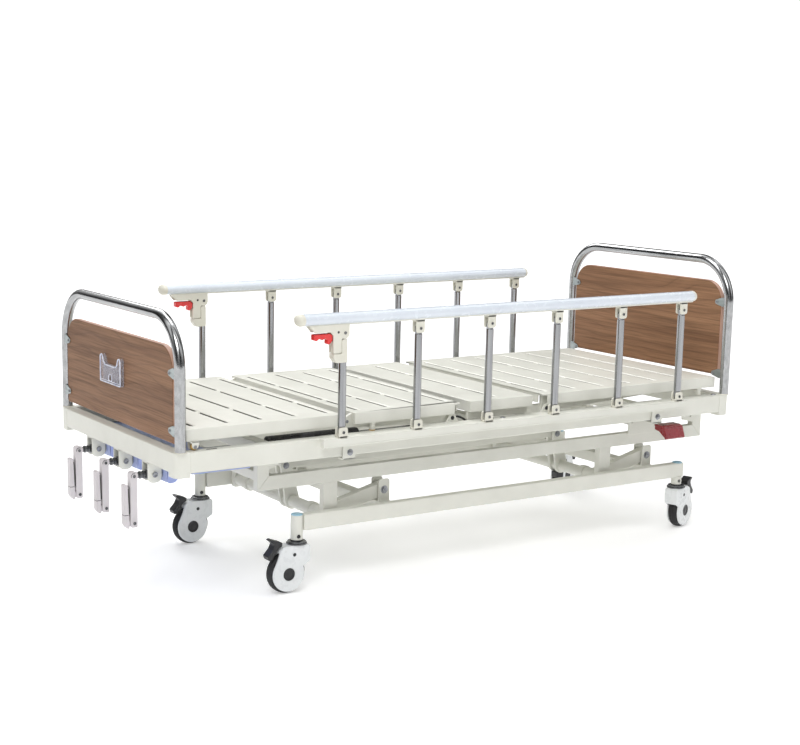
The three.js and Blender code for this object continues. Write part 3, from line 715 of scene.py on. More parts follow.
def make_lift_link():
    """The bar that joins the two torque tubes."""
    z = TOWER_Z - DROP + RISE
    foot, head = (t - REACH - LEAN for t in TOWERS)
    rod = plate(link_outline((foot, z), (head, z), 13, 13), [], "y", LINK_Y - 8, LINK_Y + 8, 1.6, 3)
    bosses = [bar("y", 10.5, LINK_Y - 11, LINK_Y + 11, (x, 0, z), 0.8) for x in (foot, head)]
    piece("lift_link_coated", "lift_link", "cream_paint", [(CREAM, [rod]), (ZINC, bosses)], ["lift_link_rod"])


# ---------------------------------------------------------------- sub-frame
def make_subframe():
    """The rails under the main frame, with the posts that hang down to the lift."""
    foot, head, low, top, roof, riser = -740.0, 1057.0, 317.0, 360.0, 424.6, 40.0
    rail = [(foot, low), (head, low), (head - riser, top), (foot + riser, top)]
    left = [(foot, low), (foot + riser, top), (foot + riser, roof), (foot, roof)]
    right = [(head, low), (head, roof), (head - riser, roof), (head - riser, top)]
    sides = [prism(o, "y", 275, 300, 1.3, 2) for o in (rail, left, right)]
    posts = [block(t - REACH - 18, t - REACH + 32, 275, 300, 185, 318, 2, 3) for t in TOWERS]
    head_gusset = filleted([(head - 96, 384), (head - 38, 372), (head - 38, roof), (head - 96, roof)],
                           [6, 1, 1, 6])
    holes = [arc(head - x, z, 3.5, 0, 342, 18) for x, z in ((80, 398), (55, 394))]
    foot_gusset = filleted([(foot + 38, 378), (foot + 74, 392), (foot + 74, roof), (foot + 38, roof)],
                           [1, 5, 1, 1])
    gussets = [plate(head_gusset, holes, "y", 300.4, 303, 0.6), plate(foot_gusset, [], "y", 296, 300.3, 0.6)]
    cross = [block(x, x + 30, -276, 276, 322, 352, 3, 3) for x in (foot + 50, head - 110)]
    pedal_plate = mirrored([plate(filleted([(712, 352), (846, 352), (846, roof), (712, roof)], [5, 5, 2, 2]),
                                   [arc(728, 396, 4, 0, 342, 18)], "y", 300.4, 304, 0.8)])
    shims = [lathe([(0, 0), (0, 20), (3, 20), (3, 0)], "y", (t - REACH, 270.5, TOWER_Z - DROP), 32)
             for t in TOWERS]
    piece("lift_subframe_coated", "bed_frame", "cream_paint",
          [(CREAM, both(sides + posts + gussets + shims) + cross + pedal_plate)], ["lift_subframe"])


# ---------------------------------------------------------------- main frame
CRANK_Y = (205.0, 0.0, -205.0)
PIVOT_X, PIVOT_Z = (-97.0, 278.0), 498.0


def make_main_frame():
    """Side and end rails, corner castings, cross members, crank yokes and pivot brackets."""
    half, wide, low, top, rail = 1065.0, 421.0, 425.0, 485.0, 40.0
    seam, cast_low = 44.0, 413.0
    straight = both([block(-half + seam, half - seam, wide - rail, wide, low, top, 3.5, 3)])
    straight += [block(min(x, x + d), max(x, x + d), -wide + seam, wide - seam, low, top, 3.5, 3)
                 for x, d in ((half, -rail), (-half, rail))]
    corner = filleted([(half - seam - 1, wide - rail - 0.6), (half - rail - 0.6, wide - rail - 0.6),
                       (half - rail - 0.6, wide - seam - 1), (half + 0.6, wide - seam - 1),
                       (half + 0.6, wide + 0.6), (half - seam - 1, wide + 0.6)], [0, 3, 0, 0, 28, 0], 8)
    casting = plate(corner, [], "z", cast_low, top + 0.6, 2.2, 3)
    corners = [moved(casting, Matrix.Diagonal((sx, sy, 1, 1))) for sx in (1, -1) for sy in (1, -1)]
    dot = lathe([(0, 0), (0, 1.8), (0.7, 1.3), (0.8, 0)], "z", (0, 0, 0), 10)
    welds = [moved(dot, facing((0, 1, 0), (x * (half - seam - 5), wide - 0.2, low + 7 + 8 * k)))
             for x in (1, -1) for k in range(6)]
    members = ((-740, -700, 425, 465), (-115, -82, 430, 470), (20, 50, 455, 484.6), (170, 200, 455, 484.6),
               (700, 735, 430, 470))
    cross = [block(x0, x1, -wide + rail - 1, wide - rail + 1, z0, z1, 2.5, 3) for x0, x1, z0, z1 in members]
    yoke = filleted([(-1060, 426), (-1060, 361), (-1016, 361), (-1016, 426)], [1, 20, 20, 1], 8)
    yokes = [plate(yoke, [], "y", y + a, y + a + 4, 1.0, 3) for y in CRANK_Y for a in (17, -21)]
    yokes += [block(-1060, -1016, y - 21, y + 21, 419, 426, 1.5, 2) for y in CRANK_Y]
    screws = [s for y in CRANK_Y for d in (1, -1) for s in screw((-1038, y + d * 21, 386), (0, d, 0), 8.5, 0)
              + bolt((-1038, y + d * 21, 386), (0, d, 0), 5)[:1]]
    bracket = [plate([(x - 24, 484), (x + 24, 484), *arc(x, PIVOT_Z, 14, 12, 168, 12)], [],
                     "y", 382, 388, 0.8) for x in PIVOT_X]
    plugs = [lathe([(387.6, 0), (387.6, 6.6), (388.8, 6.6), (389.8, 5), (390, 0)], "y", (x, 0, PIVOT_Z), 24)
             for x in PIVOT_X]
    # Painted shade: the oval slot in the rail's top is not cut; a flat black oval stands for its shadowed
    # opening.
    slot = arc(-930, 401, 4, -90, 90, 8) + arc(-956, 401, 4, 90, 270, 8)
    slot = plate(slot, [], "z", top - 0.4, top + 0.25, 0.1, 1)
    rings = [lathe([(top - 0.2, 4), (top + 1.4, 4.6), (top + 2.2, 6.5), (top + 1.4, 8.6), (top - 0.2, 9.4)],
                   "z", (x, 401, 0), 28) for x in (90, 1008)]
    piece("main_frame_coated", "bed_frame", "cream_paint",
          [(CREAM, straight + cross + corners + yokes + both(bracket + welds)), (ZINC, screws + both(rings)),
           (BLACK, both(plugs + [slot]))], ["main_frame"])


def make_tray():
    """The blue sheet over the crank bay, with a trough round each crank's spindle."""
    x0, x1 = span("crank_tray", 0)
    sheet = [block(x0, x1, -417, 417, 421, 424.4, 1.2, 3), block(x1 - 3, x1, -370, 370, 417, 424, 1, 2)]
    troughs = []
    cheek = filleted([(x0, 422), (x0, 366), (x0 + 10, 360), (x0 + 26, 362), (x0 + 92, 422)],
                     [0, 6, 6, 8, 0], 4)
    under = [(x0, 366), (x0 + 10, 360), (x0 + 26, 362), (x0 + 92, 422), (x0 + 88, 422), (x0 + 25, 364.5),
             (x0 + 10, 362.5), (x0 + 1, 368)]
    for y in CRANK_Y:
        troughs += [plate(cheek, [], "y", y + a, y + a + 2.6, 0.5) for a in (44.4, -47)]
        troughs.append(prism(under, "y", y - 45, y + 45, 0.5))
        mouth = filleted([(y - 47, 422), (y - 47, 364), (y + 47, 364), (y + 47, 422)], [0, 10, 10, 0], 6)
        troughs.append(plate(mouth, [arc(y, 385, 17, 0, 345, 23)], "x", x0 + 0.2, x0 + 3, 0.8))
    piece("crank_tray_moulded", "bed_frame", "blue_plastic", [(BLUE, sheet + troughs)], ["crank_tray"])


# ---------------------------------------------------------------- boards
BOARD_Y, BOARD_BEND, TUBE_R, TUBE_FOOT = 412.0, 145.0, 16, 485.6


def board_path(x, top, foot):
    """The bent tube's middle line: up one side, across the top and down the other."""
    half, bend = BOARD_Y, BOARD_BEND
    path = [(x, half, foot), (x, half, (foot + top - bend) / 2)]
    path += [(x, half - bend + u, top - bend + v) for u, v in arc(0, 0, bend, 0, 90, 24)]
    path += [(x, y, top) for y in (200, 100, 0, -100, -200)]
    path += [(x, -(half - bend + u), top - bend + v) for u, v in arc(0, 0, bend, 90, 0, 24)]
    return path + [(x, -half, (foot + top - bend) / 2), (x, -half, foot)]


def make_board(name, x, top, low, high, clip_zs):
    """A bent tube with its panel. low and high are the panel's edges, clip_zs the heights of its clips."""
    face = x - 9.0
    tube = sweep(board_path(x, top, TUBE_FOOT), TUBE_R, 40)
    collars = both([lathe([(485.4, 0), (485.4, 18.2), (487.0, 18.2), (488.0, 17.2), (488.0, 0)], "z",
                          (x, BOARD_Y, 0), 40)])
    clips, screws = [], []
    for z in clip_zs:
        tab = filleted([(404, z - 16), (404, z + 16), (390, z + 16), (361, z + 6), (357, z - 1), (361, z - 8),
                        (390, z - 15)], [1, 1, 8, 5, 3, 5, 8], 4)
        clips += both([plate(tab, [], "x", face - 2.8, face - 0.5, 0.6, 2)])
        screws += both(screw((face - 2.8, 368, z - 1), (-1, 0, 0), 4.6))
    piece(f"{name}_tube_polished", "bed_frame", "chrome_tube",
          [(TUBE, [tube]), (CREAM_PLASTIC, collars), (STEEL, clips), (ZINC, screws)], [f"{name}_tube"])
    outline = [(-385, low), (385, low), *arc(385 - 75, high - 75, 75, 0, 90, 14), *arc(-385 + 75, high - 75,
               75, 90, 180, 14)]
    board = plate(inset(anticlockwise(outline), 1.2), [], "x", x - 9, x + 9, 1.5, 3)
    rim = anticlockwise(outline)
    band = plate(rim, [inset(rim, 1.6)], "x", x - 7.4, x + 7.4, 0.7, 2)
    piece(f"{name}_panel_laminate", "bed_frame", "walnut_laminate", [(WALNUT, [board]), (BANDING, [band])],
          [f"{name}_panel"])


def make_chart_holder():
    """A clear pocket with two horns and an arched hole, on the footboard."""
    back, front = middle("footboard_panel", 0) - 9.4, middle("footboard_panel", 0) - 21.4
    shape = filleted([(-55, 618), (95, 618), (95, 697), (86, 703), (76, 700), (68, 681), (58, 674),
                      (-18, 674), (-28, 681), (-36, 700), (-46, 703), (-55, 697)], [6, 6, 5, 6, 8, 10, 8, 8,
                     10, 8, 6, 5], 4)
    arch = filleted([(9, 627), (31, 627), (31, 640), (26, 647), (14, 647), (9, 640)], [3, 3, 5, 4, 4, 5], 4)
    face = plate(shape, [arch], "x", front, front + 2.2, 0.8, 3)
    rear = plate(shape, [], "x", back - 2.2, back, 0.8, 3)
    floor = block(front + 1, back - 1, -54, 94, 618.4, 621, 0.9, 2)
    piece("chart_holder_clear", "bed_frame", "clear_plastic", [(ACRYLIC, [face, rear, floor])],
          ["chart_holder"])
    # Painted highlight and reflection: opaque pale lines round the clear pocket's outline, its arched hole
    # and its mouth, for how the clear edges catch the light.
    edge = inset(anticlockwise(shape), 1.6)
    loops = [[(front + 0.4, y, z) for y, z in points + points[:1]] for points in (edge, arch)]
    lip = [(front + 0.4, -46, 625.5), (front + 0.4, 86, 625.5)]
    studs = [s for y in (-40, 80) for s in screw((front, y, 631), (-1, 0, 0), 3.2)]
    piece("chart_holder_painted_glint_rim", "bed_frame", "clear_plastic",
          [(ACRYLIC_EDGE_GLINT, [sweep(loops[0], 2.0, 10), sweep(loops[1], 1.3, 8), sweep(lip, 1.2, 8)]),
           (ZINC, studs)])


# ---------------------------------------------------------------- deck
DECK_HALF, DECK_TOP, DECK_EDGE, SLOT_HALF, SLOT_R = 394.0, 546.0, 511.0, 352.0, 6.0


def capsule(x, radius):
    """A slot's outline across the deck."""
    return arc(x, SLOT_HALF - SLOT_R, radius, 0, 180, 10) + arc(x, -SLOT_HALF + SLOT_R, radius, 180, 360, 10)


def pan(x0, x1, slots, relief=(0, 0)):
    """A pressed steel pan with folded edges and flanged slots."""
    corner = filleted([(x0, -DECK_HALF), (x1, -DECK_HALF), (x1, DECK_HALF), (x0, DECK_HALF)], 3, 3)
    outline = []
    for a, b in zip(corner, corner[1:] + corner[:1]):
        outline.append(a)
        extra = []
        for end, x in ((0, x0), (1, x1)):
            sign = 1 if end == 0 else -1
            if not relief[end]:
                continue
            inner = x + sign * relief[end]
            if abs(a[1] - b[1]) < 1 and min(a[0], b[0]) < inner < max(a[0], b[0]):
                extra += [(inner, a[1]), (inner + sign * 1.5, a[1])]
            if abs(a[0] - b[0]) < 1 and abs(a[0] - x) < 1:
                extra += [(x, s * v) for s in (-1, 1) for v in (372, 370.5)]
        extra.sort(key=lambda p: (p[0] - a[0]) ** 2 + (p[1] - a[1]) ** 2)
        outline += extra

    def edge_z(x, y):
        for end, border in ((0, x0), (1, x1)):
            if relief[end] and abs(x - border) < relief[end] + 0.5 and abs(y) > 371:
                return 540.5
        return DECK_EDGE if abs(y) > DECK_HALF - 3.5 else DECK_EDGE + 4

    bend = [(3.0 * (1 - math.sin(t)), 3.0 * (1 - math.cos(t))) for t in (math.pi / 2 * k / 4
            for k in range(5))]
    profile = [(i, DECK_TOP - d) for i, d in bend] + [(0, None), (2.4, None), (2.4, DECK_TOP - 4),
                                                      (3.6, DECK_TOP - 2.5)]
    verts, faces, tops, unders = [], [], [], []
    starts = []
    for inward, z in profile:
        starts.append(len(verts))
        verts += [Vector((u, v, edge_z(*outline[i]) if z is None else z))
                  for i, (u, v) in enumerate(inset(outline, inward))]
    n = len(outline)
    for a, b in zip(starts, starts[1:]):
        faces += strip(a, b, n)
    tops.append(list(range(starts[0], starts[0] + n)))
    unders.append(list(range(starts[-1], starts[-1] + n)))
    for x in slots:
        rings = []
        for radius, z in ((SLOT_R + 4.6, 546), (SLOT_R + 3.8, 545.6), (SLOT_R + 0.5, 543.4), (SLOT_R, 542.4),
                          (SLOT_R, 535.4), (SLOT_R + 1.4, 535.0), (SLOT_R + 2.0, 538.6),
                          (SLOT_R + 5.6, 543.5)):
            loop = capsule(x, radius)
            rings.append((len(verts), len(loop)))
            verts += [Vector((u, v, z)) for u, v in loop]
        for (a, m), (b, _) in zip(rings, rings[1:]):
            faces += strip(a, b, m)
        tops.append(list(range(rings[0][0], sum(rings[0]))))
        unders.append(list(range(rings[-1][0], sum(rings[-1]))))
    for groups in (tops, unders):
        index = [i for ids in groups for i in ids]
        flat = [[Vector((verts[i].x, verts[i].y, 0)) for i in ids] for ids in groups]
        faces += [[index[i] for i in tri] for tri in geometry.tessellate_polygon(flat)]
    return from_bmesh(to_bmesh((verts, faces)))


def slot_shade_liners(slots):
    """Painted shade: dark liners in the slots' throats, where there is only shadow."""
    return [plate(capsule(x, SLOT_R + 0.3), [capsule(x, SLOT_R - 0.5)], "z", 534.6, 543.0, 0.2, 1)
            for x in slots]


def member(corners, a=366.0, b=376.0):
    """A deck section's side member, on edge."""
    return prism(filleted(corners, 3, 3), "y", a, b, 1.2, 2, choose=sharp)


def peg(x):
    """The stop that a lowered section rests on."""
    return [bar("z", 8.5, 487.4, 541, (x, 384, 0), 1), bar("z", 10, 505, 541, (x, 384, 0), 1)]


def pad(x):
    """The stop's foot, where it meets the frame."""
    return [bar("z", 9.4, 485.4, 488.4, (x, 384, 0), 0.8)]


def make_deck():
    """The four deck sections, each a pan on its side members, and the calf section's rollers."""
    ribs = lambda x0, x1: [block(x0 + 4, x1 - 4, y - 12, y + 12, 519, 543.2, 2, 2) for y in (-150, 150)]
    seat, back, thigh, calf = (-32, 215), (254, 1020), (-460, -72), (-1019, -505)
    slots = {"seat": [92], "back": [300 + 119.5 * i for i in range(6)], "thigh": [-424 + 108 * i
             for i in range(4)], "calf": [-976 + 111.5 * i for i in range(5)]}
    rest = member([(-30, 485.4), (205, 485.4), (205, 543), (-30, 543)])
    piece("seat_pan", "bed_frame", "cream_paint",
          [(CREAM, [pan(*seat, slots["seat"])] + ribs(*seat) + both([rest])), (SLOT_SHADE, slot_shade_liners(slots["seat"]))],
          ["seat_section"])
    x = PIVOT_X[1]
    arm = member([(x - 14, 488), (x - 6, 483.5), (x + 8, 483.5), (600, 500), (990, 520), (990, 543),
                  (x - 14, 543)])
    piece("back_pan", "back", "cream_paint",
          [(CREAM, [pan(*back, slots["back"], (20, 0))] + ribs(*back) + both([arm] + peg(952))),
           (CREAM_PLASTIC, both(pad(952))), (SLOT_SHADE, slot_shade_liners(slots["back"]))], ["back_section"])
    x = PIVOT_X[0]
    arm = member([(x + 14, 488), (x + 6, 483.5), (x - 8, 483.5), (-440, 496), (-478, 509), (-492, 514),
                  (-494, 526), (-482, 532), (-458, 543), (x + 14, 543)])
    piece("thigh_pan", "thigh", "cream_paint",
          [(CREAM, [pan(*thigh, slots["thigh"], (0, 20))] + ribs(*thigh) + both([arm] + peg(-392))),
           (OCHRE, both(pad(-392))), (SLOT_SHADE, slot_shade_liners(slots["thigh"]))], ["thigh_section"])
    hinge = member([(-475, 512), (-472, 524), (-483, 532), (-507, 543), (-565, 543), (-565, 516),
                    (-505, 508)], 378, 384)
    roller_x, roller_z = middle("calf_roller_near", 0), middle("calf_roller_near", 2)
    lug = plate([(roller_x + 20, 543), (roller_x - 13, 543), *arc(roller_x, roller_z + 1, 13, 180, 360, 14)],
                [], "y", 380, 384.5, 0.9, 3)
    outer_lug = plate([(roller_x + 13, 510), (roller_x - 11, 510), *arc(roller_x + 1, roller_z + 4, 10.5, 180,
                       360, 14)], [], "y", 399.4, 402, 0.8, 3)
    bolts = screw((roller_x, 402, roller_z), (0, 1, 0), 5.0) + screw((-482, 384, 520), (0, 1, 0), 5.0)
    fold = block(roller_x - 13, roller_x + 13, 392, 402, 507, 510, 0.8, 2)
    piece("calf_pan", "calf", "cream_paint",
          [(CREAM, [pan(*calf, slots["calf"])] + ribs(*calf) + both([hinge, lug, outer_lug, fold])),
           (ZINC, both(bolts)), (SLOT_SHADE, slot_shade_liners(slots["calf"]))], ["calf_section"])
    for name, side in SIDES:
        low, high = sorted((side * 387.4, side * 398.6))
        wheel = lathe([(low, 0), (low, 7), (low + 1, 9.2), (low + 2, 10.2), (high - 2, 10.2), (high - 1, 9.2),
                       (high, 7), (high, 0)], "y", (roller_x, 0, roller_z), 36)
        piece(f"roller_{name}", f"calf_roller_{name}", "ochre_nylon", [(OCHRE, [wheel])],
              [f"calf_roller_{name}"])


# ---------------------------------------------------------------- side rails
RAIL_Y, POST_0, PITCH, LOW_PIN, HIGH_PIN, RAIL_Z = 452.0, -543.0, 266.0, 506.0, 798.0, 842.0


def clevis(x, y, pin, root, tip):
    """Two ears with a web, round the flat end of a post. root is where they join the rail."""
    up = 1 if tip > root else -1
    outline = filleted([(x - 15, root), (x + 15, root), (x + 15, tip), (x - 15, tip)], [1, 1, 9, 9], 4)
    ears = [plate(outline, [], "y", y + a, y + a + 5.4, 1.2, 3) for a in (6.8, -12.2)]
    return ears + [block(x - 15, x + 15, y - 12.2, y + 12.2, *sorted((root, root + up * 7)), 1.5, 2)]


def make_rail(name, side):
    """One side rail: bottom rail, six posts, top rail and release lever."""
    y = side * RAIL_Y
    posts = [POST_0 + PITCH * i for i in range(6)]
    outline = filleted([(y - 11, 463), (y + 11, 463), (y + 11, 490), (y - 11, 490)], 4, 4)
    beam = [prism(outline, "x", -609, 828, 1.6, 3, choose=sharp)]
    lip = [block(-604, 823, *sorted((y + side * 10.6, y + side * 12.2)), 464, 468, 0.6, 2)]
    hooks, bolts = [], []
    for x in (-499, 725):
        outer, inner = sorted((side * 423, side * 428))
        hooks.append(plate(filleted([(x - 22, 414), (x + 22, 414), (x + 22, 471), (x - 22, 471)],
                                    [3, 3, 1, 1]), [], "y", outer, inner, 1.0, 2))
        hooks.append(block(x - 22, x + 22, *sorted((side * 423, side * 446)), 464.5, 471.5, 1.2, 2))
        hooks.append(block(x - 22, x + 22, *sorted((side * 401, side * 428)), 414, 419, 1.2, 2))
        bolts += bolt((x + 2, side * 428, 436), (0, side, 0), 7.5)
    cleats = [s for x in posts for s in clevis(x, y, LOW_PIN, 489, 521)]
    pins = screw_pairs([(x, y, LOW_PIN) for x in posts], 12.2, 4.6)
    piece(f"rail_bottom_{name}", "bed_frame", "cream_paint",
          [(CREAM, beam + lip + hooks), (CREAM_PLASTIC, cleats), (ZINC, bolts), (DARK_STEEL, pins)],
          [f"side_rail_bottom_{name}"])
    for i, x in enumerate(posts):
        tube = lathe([(523.2, 0), (523.2, 10.5), (525, 12), (779, 12), (780.8, 10.5), (780.8, 0)],
                     "z", (x, y, 0), 40)
        tongues = [plate(link_outline((x, pin), (x, (LOW_PIN + HIGH_PIN) / 2 + (30 if pin == LOW_PIN
                                                 else -30)), 10, 9), [], "y", y - 5.6, y + 5.6, 1.5, 3)
                   for pin in (LOW_PIN, HIGH_PIN)]
        groups = [(CHROME, [tube] + tongues)]
        if i == 0:
            shell = filleted([(x - 38, 727), (x - 27, 713), (x + 8, 713), (x + 8, 782), (x + 3, 783),
                              (x - 11, 780), (x - 11, 740), (x - 38, 740)], [4, 3, 4, 3, 3, 3, 2, 2], 4)
            core = filleted([(x - 35, 722), (x + 5, 718), (x + 5, 781), (x - 35, 775)], [2, 2, 3, 6], 3)
            groups += [(CREAM_PLASTIC, [plate(shell, [], "y", y - 14.2, y + 14.2, 2.0, 3),
                                        plate(core, [], "y", y - 9.4, y + 9.4, 1.5, 2)])]
        piece(f"rail_post_{i + 1}_{name}", f"post_{i + 1}_{name}", "chrome_tube", groups,
              [f"side_rail_post_{i + 1}_{name}"])
    make_top_rail(name, side, posts)
    grip = filleted([(-645, 799.6), (-645.5, 783), (-636, 780), (-626, 787), (-616, 782), (-606, 788),
                     (-600, 782), (-601, 771), (-595, 768), (-589, 772), (-583, 780), (-583, 794),
                     (-590, 800)], [2.5, 4, 6, 5, 3, 6, 4, 4, 3.5, 4, 4, 5, 5], 5)
    lever = prism(grip, "y", y - 9.5, y + 9.5, 2.6, 4, choose=sharp)
    piece(f"lever_{name}", f"release_lever_{name}", "red_plastic", [(RED, [lever])],
          [f"release_lever_{name}"])


OVAL_SIDES, OVAL_WIDTH, OVAL_HEIGHT = 48, 23, 17


def loft(y, stations):
    """The top rail's oval section along X, at each station (x, scale), closed at both ends."""
    turns = [2 * math.pi * k / OVAL_SIDES for k in range(OVAL_SIDES)]
    verts = [Vector((x, y + OVAL_WIDTH * scale * math.cos(t), RAIL_Z + OVAL_HEIGHT * scale * math.sin(t)))
             for x, scale in stations for t in turns]
    last = OVAL_SIDES * (len(stations) - 1)
    faces = [quad for start in range(0, last, OVAL_SIDES) for quad in strip(start, start + OVAL_SIDES,
             OVAL_SIDES)]
    faces += [list(range(OVAL_SIDES)), list(range(last, last + OVAL_SIDES))]
    return from_bmesh(to_bmesh((verts, faces)))


def rail_cap(y, x, direction, length):
    """A rounded end cap, from x for length along direction."""
    shape = ((-1.0 / length, 1.035), (0.42, 1.035), (0.52, 1.0), (0.72, 0.86), (0.88, 0.62),
             (0.97, 0.34), (1, 0.02))
    return loft(y, [(x + direction * length * along, scale) for along, scale in shape])


def make_top_rail(name, side, posts):
    """A top rail with its end caps, the clevises for the posts and the latch's two cheeks."""
    y = side * RAIL_Y
    x0, x1 = -702.0, 838.0
    left, right = 21, 12
    beam = loft(y, [(x0 + left, 0.02), (x0 + left, 1.0), (x1 - right, 1.0), (x1 - right, 0.02)])
    caps = [rail_cap(y, x0 + left, -1, left), rail_cap(y, x1 - right, 1, right)]
    keel = [prism(filleted([(y - 12.5, 823), (y + 12.5, 823), (y + 12.5, 832), (y - 12.5, 832)], 2, 3), "x",
                  x0 + 40, x1 - 12, 1.0, 2)]
    cleats = [s for x in posts[1:] for s in clevis(x, y, HIGH_PIN, 824, 784)]
    first = posts[0]
    side_plate = filleted([(first - 120, 826), (first - 101, 804), (first - 49, 804), (first - 40, 794),
                           (first - 39, 741.5), (first - 17, 741.5), (first - 12, 747), (first - 12, 780),
                           *arc(first, HIGH_PIN, 15.4, -120, 0, 10), (first + 15, 826)],
                          [2, 5, 6, 5, 2, 4, 4, 3] + [0] * 11 + [3], 4)
    body = [plate(side_plate, [], "y", y + a, y + a + 4.2, 1.2, 3) for a in (10.0, -14.2)]
    body += [block(first - 112, first + 14, y - 11, y + 11, 815, 826, 1, 2)]
    pins = screw_pairs([(x, y, HIGH_PIN) for x in posts[1:]], 12.2, 4.6)
    pins += screw_pairs([(first, y, HIGH_PIN + 2)], 14.2, 4.6)
    dot = lathe([(0, 0), (0, 3.8), (0.5, 3.6), (0.6, 0)], "z", (0, 0, 0), 20)
    dots = [moved(dot, facing((0, d, 0), (first - 23, y + d * 14.0, 803))) for d in (1, -1)]
    piece(f"rail_top_{name}", f"side_rail_top_{name}", "rail_coating",
          [(ICE, [beam]), (CREAM_PLASTIC, caps + cleats + body), (CREAM, keel), (DARK_STEEL, pins),
           (BLACK, dots)], [f"side_rail_top_{name}"])


# ---------------------------------------------------------------- cranks and drives
CRANK_Z, ARM_X, ARM = 385.0, -1100.0, 140.0


def make_crank(name, y, grip):
    """A cranked arm of channel section, with its grip folded up along it. grip is the grip's X range."""
    end = CRANK_Z - ARM
    blade = filleted([(ARM_X - 11, CRANK_Z + 13), (ARM_X - 11, end - 8), (ARM_X - 6.5, end - 12.6),
                      (ARM_X + 11, end - 12.6), (ARM_X + 11, CRANK_Z + 13)], [9, 2, 2, 4, 10], 6)
    arm = plate(blade, [], "y", y - 11.6, y + 11.6, 1.6, 3)
    arm_piece = piece(f"crank_arm_cast_{name}", f"crank_{name}", "crank_grey", [(CRANK, [arm])],
                      [f"crank_arm_{name}"])
    carve(arm_piece, [block(ARM_X - 20, ARM_X + 20, y - 7.6, y + 7.6, end - 30, end + 16, 0.0),
                      block(ARM_X - 20, ARM_X - 7.5, y - 7.2, y + 7.2, end + 30, CRANK_Z - 30, 1.5, 2)])
    marks = [block(ARM_X - 11.6, ARM_X - 10.4, y + a, y + a + 1.6, CRANK_Z - 12, CRANK_Z + 2, 0.4, 1)
             for a in (-5, 0, 5)]
    hub = [bar("x", 10.6, ARM_X + 8, ARM_X + 14, (0, y, CRANK_Z), 1.6, 40)]
    rivets = screw_pairs([(ARM_X + 1, y, z) for z in (CRANK_Z, end)], 11.6, 4.8)
    shaft = [bar("x", 8, ARM_X + 12, -1018, (0, y, CRANK_Z), 0.8)]
    joint = [lathe([(0, 0), (0, 8.6), (2, 11), (7, 11.2), (9, 8.4), (11, 8.4), (13, 11.2), (18, 11),
                    (20, 8.6), (20, 0)], "x", (-1081, y, CRANK_Z), 32),
             lathe([(0, 0), (0, 13.4), (3, 14.2), (6, 14.2), (8, 12.2), (8, 0)], "x", (-1060.5, y, CRANK_Z),
                   36)]
    grooves = [sweep([(ARM_X + u, y + d * 11.7, CRANK_Z + v) for u, v in arc(0, 0, 8.4, 60, 200, 12)], 0.9, 8)
               for d in (1, -1)]
    piece(f"crank_fittings_{name}", f"crank_{name}", "crank_grey",
          [(CRANK, hub + marks), (DARK_STEEL, rivets + grooves + shaft + joint)])
    low, high = grip[0], grip[0] + 16.0
    foot, top = end - 13.8, end + 117.0
    seam = foot + 40.0
    handle = prism(filleted([(low + 0.2, seam + 1), (high - 1.5, seam + 1), (high - 4.5, top),
                             (low + 0.2, top)], [0.5, 0.5, 3, 4], 4), "y", y - 10.8, y + 10.8, 4.5, 4, sharp)
    boot = prism(filleted([(low + 0.2, seam - 1), (low + 0.4, foot + 14), (low + 9, foot + 0.2),
                           (high - 0.2, foot + 0.2), (high - 0.2, seam - 1)], [0.5, 9, 5, 1.5, 1], 5), "y",
                 y - 10.8, y + 10.8, 4.0, 4, sharp)
    # Painted shade: a black block at the seam between handle and boot, where the crease is in shadow.
    seam_shadow_block = block(low + 1.2, high - 2.0, y - 10.0, y + 10.0, seam - 2.4, seam + 2.4, 0.5, 1)
    # Painted shade: a black strip along the handle's inner side, for the shadowed gap between grip and arm.
    handle_shadow_strip = prism([(high - 6, seam + 3), (high + 2.4, seam + 3), (high - 1.0, top - 12),
                   (high - 6, top - 12)], "y", y - 9.9, y + 9.9, 0.8, 2)
    grip_x = (low + high) / 2
    eye = plate(link_outline((grip_x, end), (ARM_X, end), 7.8, 7.8), [], "y", y - 6.8, y + 6.8, 1.4, 3)
    piece(f"crank_grip_moulded_{name}", f"crank_grip_{name}", "crank_grey",
          [(CRANK, [handle, boot, eye]), (BLACK, [seam_shadow_block, handle_shadow_strip])], [f"crank_grip_{name}"])


def make_drives():
    """The three drive tubes and the gas spring."""
    for node, y in (("lift_drive_tube", 205.0), ("knee_drive_tube", 0.0), ("back_drive_tube", -205.0)):
        x0, x1 = span(node, 0)
        tube = lathe([(x0, 0), (x0, 14), (x0 + 1, 15), (x0 + 51, 15), (x0 + 52, 14), (x0 + 53, 12),
                      (x0 + 120, 12), (x0 + 121, 10.6), (x0 + 122, 12), (x1 - 30, 12), (x1 - 29, 10),
                      (x1 - 1, 10), (x1, 9), (x1, 0)], "x", (0, y, CRANK_Z), 36)
        piece(f"{node}_zinc", "bed_frame", "zinc_steel", [(ZINC, [tube])], [node])
    y, z = middle("gas_spring", 1), middle("gas_spring", 2)
    x0, x1 = span("gas_spring", 0)
    barrel = lathe([(x0, 0), (x0, 8), (x0 + 2, 10), (x0 + 8, 10), (x0 + 10, 17), (x0 + 13, 19.6),
                    (x0 + 330, 19.6), (x0 + 334, 18), (x0 + 338, 12), (x0 + 338, 0)], "x", (0, y, z), 44)
    rod = bar("x", 7, x0 + 337, x1, (0, y, z), 0.8)
    piece("gas_spring_painted", "bed_frame", "black_metal", [(BLACK_PAINT, [barrel]), (CHROME, [rod])],
          ["gas_spring"])


def smooth_curve(stops, steps=8):
    """A Catmull-Rom curve through the stops."""
    points = [Vector(p) for p in stops]
    curve = []
    for i in range(len(points) - 1):
        p0, p1, p2, p3 = points[max(i - 1, 0)], points[i], points[i + 1], points[min(i + 2, len(points) - 1)]
        for k in range(steps):
            t = k / steps
            curve.append(0.5 * ((2 * p1) + (p2 - p0) * t + (2 * p0 - 5 * p1 + 4 * p2 - p3) * t ** 2
                                + (3 * p1 - p0 - 3 * p2 + p3) * t ** 3))
    return curve + [points[-1]]


